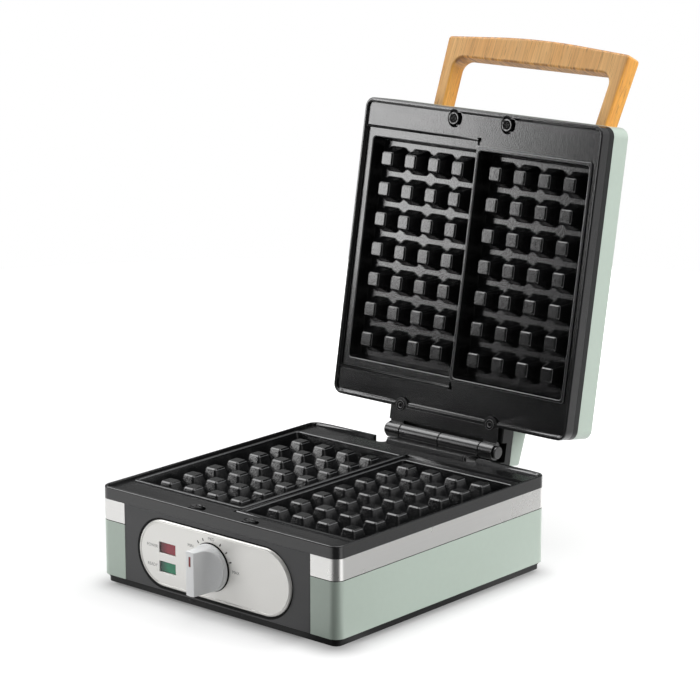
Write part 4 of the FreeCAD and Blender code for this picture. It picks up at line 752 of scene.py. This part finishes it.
def pillRing(inset, wide, front, deep):
    form = newForm()
    radius = bead["height"] / 2 - inset
    bmesh.ops.create_circle(form, cap_ends=True, segments=bead["segments"], radius=radius * mm)
    half = (bead["width"] - bead["height"]) / 2 * mm
    bmesh.ops.translate(form, verts=[vert for vert in form.verts if vert.co.x > 0], vec=(half, 0, 0))
    bmesh.ops.translate(form, verts=[vert for vert in form.verts if vert.co.x < 0], vec=(-half, 0, 0))
    bmesh.ops.inset_region(form, faces=form.faces[:], thickness=wide * mm, use_even_offset=True,
                           use_boundary=True)
    inner = max(form.faces, key=lambda face: face.calc_area())
    bmesh.ops.delete(form, geom=[inner], context="FACES")
    bmesh.ops.rotate(form, verts=form.verts, cent=(0, 0, 0), matrix=frontward.to_3x3())
    top = newVerts(bmesh.ops.extrude_face_region(form, geom=form.faces[:]))
    bmesh.ops.translate(form, verts=top, vec=(0, -deep * mm, 0))
    bmesh.ops.recalc_face_normals(form, faces=form.faces)
    bmesh.ops.translate(form, verts=form.verts, vec=(0, (front + deep) * mm, knob["z"] * mm))
    return form


form = pillRing(bead["inset"], bead["wide"], bead["front"] - bead["proud"], bead["proud"] + bead["sunk"])
roundEdges(form, sharpEdges(form, crease["modelled"]), bead["edge"])
addPiece(form, "fasciaBead", "base", "silver_fascia")
# the dark ring shows at the left and bottom edges: a painted shadow line
form = pillRing(-bead["shadowWide"], bead["shadowWide"] + bead["shadowUnder"], bead["shadowFront"], bead["shadowDeep"])
bmesh.ops.translate(form, verts=form.verts, vec=Vector(bead["shadowShift"]) * mm)
addPiece(form, "fasciaShadowLine", "base", "dark_plastic", material="shadow_gap")

# dial marks by angle, dial words by angle, reach and height, and the lamps' words by place and height
printing = {"front": -130.5, "thick": 0.05, "radius": 22.2, "ticks": (127, 111.5, 63, 42, 21),
            "tick": (1.1, 2.3), "sizeShare": 1.4,
            "words": (("MIN", 149, 25.0, 2.5), ("MED", 88.5, 22.6, 2.4), ("MAX", 2, 26.4, 2.5)),
            "lampWords": (("POWER", -65.6, 45.1, 2.5), ("READY", -65.6, 29.5, 2.5))}
printFront = printing["front"] * mm


def wordMesh(text, tall):
    curve = bpy.data.curves.new("word", "FONT")
    curve.body = text
    curve.size = tall * printing["sizeShare"] * mm
    curve.align_x = "CENTER"
    curve.align_y = "CENTER"
    curve.extrude = printing["thick"] / 2 * mm
    holder = bpy.data.objects.new("word", curve)
    scene.collection.objects.link(holder)
    bpy.context.view_layer.update()
    mesh = bpy.data.meshes.new_from_object(holder)
    bpy.data.objects.remove(holder)
    return mesh


form = newForm()
tickSize = Matrix.Diagonal((*(side * mm for side in (*printing["tick"], printing["thick"])), 1))
for angle in printing["ticks"]:
    turn = Matrix.Rotation(math.radians(angle - 90), 4, "Z")
    place = Matrix.Translation((knob["x"] * mm, printFront, knob["z"] * mm)) @ frontward @ turn
    place = place @ Matrix.Translation((0, printing["radius"] * mm, 0)) @ tickSize
    bmesh.ops.create_cube(form, size=1, matrix=place)
addPiece(form, "fasciaTicks", "base", "silver_fascia", material="print_black")

words = []
for text, angle, reach, tall in printing["words"]:
    turn = math.radians(angle)
    words.append((text, knob["x"] + reach * math.cos(turn), knob["z"] + reach * math.sin(turn), tall))
form = newForm()
for text, x, z, tall in words + list(printing["lampWords"]):
    mesh = wordMesh(text, tall)
    mesh.transform(Matrix.Translation((x * mm, printFront, z * mm)) @ frontward)
    form.from_mesh(mesh)
bmesh.ops.remove_doubles(form, verts=form.verts, dist=weld["least"] * mm)
addPiece(form, "fasciaWords", "base", "silver_fascia", material="print_grey")
print("fascia done")

# every CAD node that still shows takes its slot's finish
for name, node in nodes.items():
    if not node.hide_render:
        node.data.materials.clear()
        node.data.materials.append(materials[slotOf[name]])

# floor: painted darker towards the front right, a painted shade that stands for the dim side behind a camera
# and dims the light bounced onto the part; lifted to white where the camera sees it, and lifted less close to
# the base, a painted contact shadow
ground = {
    "radius": 1.25, "segments": 96, "rough": 0.7, "specular": 0.1, "paint": (0.55, 0.12),
    "corner": (0.08, -0.09), "footprint": (0.112, 0.1155),
    "towards": (0.65, -0.76, 0), "across": (0.76, 0.65, 0),
    "sector": (0.72, 0.95, 0.0, 1.0), "shade": (0.0, 0.035, 0.35, 1.0), "far": (0.3, 0.8, 0.0, 0.7),
    "lift": 0.5, "sectorLift": 0.4,
    "stripeOn": (0.45, 0.6, 0.0, 0.8), "stripeOff": (0.8, 0.92, 1.0, 0.0),
    "leftGloss": (-0.3, -0.7, 0.0, 0.42),
}
form = bmesh.new()
bmesh.ops.create_circle(form, cap_ends=True, segments=ground["segments"], radius=ground["radius"])
floorMesh = bpy.data.meshes.new("floor")
form.to_mesh(floorMesh)
form.free()
floor = bpy.data.objects.new("floor", floorMesh)
scene.collection.objects.link(floor)
floorPaint, tree, shader = newMaterial("floorPaint")
shader.inputs["Roughness"].default_value = ground["rough"]
shader.inputs["Specular IOR Level"].default_value = ground["specular"]
shader.inputs["Emission Color"].default_value = (1, 1, 1, 1)
place = objectPlace(tree)
fromCorner = combineVector(tree, "SUBTRACT", place, (*ground["corner"], 0))
heading = combineVector(tree, "NORMALIZE", fromCorner)
# the sector towards the front right is painted dark: painted shade for the light bounced onto the part
sector = fade(tree, combineVector(tree, "DOT_PRODUCT", heading, ground["towards"]), ground["sector"])
bright, dim = ((tone,) * 3 for tone in ground["paint"])
tree.links.new(mixColour(tree, sector, bright, dim), shader.inputs["Base Color"])

past = combineVector(tree, "SUBTRACT", combineVector(tree, "ABSOLUTE", place), (*ground["footprint"], 0))
past = combineVector(tree, "LENGTH", combineVector(tree, "MAXIMUM", past))  # how far outside the base
lift = combine(tree, "ADD", combine(tree, "MULTIPLY", sector, ground["sectorLift"]), ground["lift"])
# close to the base the lift fades out: a painted contact shadow on the floor
lift = combine(tree, "MULTIPLY", lift, fade(tree, past, ground["shade"]))
lift = combine(tree, "ADD", lift, fade(tree, combineVector(tree, "LENGTH", place), ground["far"]))
across = combineVector(tree, "DOT_PRODUCT", heading, ground["across"])
stripe = combine(tree, "MULTIPLY", fade(tree, across, ground["stripeOn"]),
                 fade(tree, across, ground["stripeOff"]))
gloss = combine(tree, "ADD", stripe, fade(tree, across, ground["leftGloss"]))
ray = tree.nodes.new("ShaderNodeLightPath").outputs
seen = combine(tree, "MAXIMUM", ray["Is Camera Ray"], ray["Is Transmission Ray"])
glow = combine(tree, "ADD", combine(tree, "MULTIPLY", seen, lift),
               combine(tree, "MULTIPLY", ray["Is Glossy Ray"], gloss))
tree.links.new(glow, shader.inputs["Emission Strength"])
floorMesh.materials.append(floorPaint)

# world: white to the camera, soft and dimmer from the front right, with bright fields for the gloss to mirror
sky = {
    "above": (0.4, 0.9, 0.0, 0.25), "rightBackWay": (0.75, 0.66, 0), "rightBack": (0.1, 0.8, 0.0, 0.6),
    "leftBackWay": (-0.65, 0.76, 0), "leftBack": (0.55, 0.85, 0.0, 0.26), "low": (0.27, 0.4, 1.0, 0.0),
    "softboxWay": Vector((-0.65, -0.1, 0.76)).normalized(), "softbox": (0.93, 0.97, 0.0, 5.0),
    "dimmest": 0.045, "ambient": (0.3, 0.95, 0.42, 0.06),
}
world = bpy.data.worlds.new("studio")
scene.world = world
world.use_nodes = True
tree = world.node_tree
backdrop = tree.nodes["Background"]
place = tree.nodes.new("ShaderNodeTexCoord").outputs["Generated"]
axes = tree.nodes.new("ShaderNodeSeparateXYZ")
tree.links.new(place, axes.inputs[0])


def skyField(name):
    return fade(tree, combineVector(tree, "DOT_PRODUCT", place, sky[name + "Way"]), sky[name])


leftBack = combine(tree, "MULTIPLY", skyField("leftBack"), fade(tree, axes.outputs["Z"], sky["low"]))
fields = combine(tree, "MAXIMUM", fade(tree, axes.outputs["Z"], sky["above"]), skyField("rightBack"))
fields = combine(tree, "MAXIMUM", leftBack, fields)
mirrored = combine(tree, "ADD", spread(tree, fields, 0, 1, sky["dimmest"], 1.0), skyField("softbox"))
ambient = fade(tree, combineVector(tree, "DOT_PRODUCT", place, ground["towards"]), sky["ambient"])
ray = tree.nodes.new("ShaderNodeLightPath").outputs
glossy = combine(tree, "MAXIMUM", ray["Is Glossy Ray"], ray["Is Transmission Ray"])
level = combine(tree, "ADD", combine(tree, "MULTIPLY", glossy, mirrored),
                combine(tree, "MULTIPLY", combine(tree, "SUBTRACT", 1.0, glossy), ambient))
unseen = combine(tree, "SUBTRACT", 1.0, ray["Is Camera Ray"])
strength = combine(tree, "ADD", ray["Is Camera Ray"], combine(tree, "MULTIPLY", unseen, level))
tree.links.new(strength, backdrop.inputs["Strength"])
backdrop.inputs["Color"].default_value = (1, 1, 1, 1)

# lamps face the middle of the part where they have no way of their own
lampAim = Vector((0, 0, 0.15))
lamps = {
    "overhead": {"at": (0.2, 0.4, 1.7), "size": (1.5, 1.5), "power": 17},
    "right": {"at": (1.5, 0.75, 0.65), "size": (1.0, 1.0), "power": 19, "diffuseOnly": True},
    "leftFront": {"at": (-0.6, -0.55, 0.4), "size": (0.3, 0.3), "power": 3.0, "diffuseOnly": True},
    "card": {"at": (-1.20, -0.405, 0.56), "size": (1.2, 0.6), "power": 2.5, "facing": (0.608, 0.787, 0),
             "spread": 70, "glossOnly": True},
}
for name, lamp in lamps.items():
    lampData = bpy.data.lights.new(name, "AREA")
    lampData.shape = "RECTANGLE"
    lampData.energy = lamp["power"]
    lampData.size, lampData.size_y = lamp["size"]
    lampData.spread = math.radians(lamp.get("spread", 180))
    box = bpy.data.objects.new(name, lampData)
    scene.collection.objects.link(box)
    box.location = lamp["at"]
    facing = Vector(lamp["facing"]) if "facing" in lamp else lampAim - box.location
    box.rotation_euler = facing.to_track_quat("-Z", "Y").to_euler()
    box.visible_camera = False
    box.visible_diffuse = not lamp.get("glossOnly", False)
    box.visible_glossy = not lamp.get("diffuseOnly", False)
print("stage done")
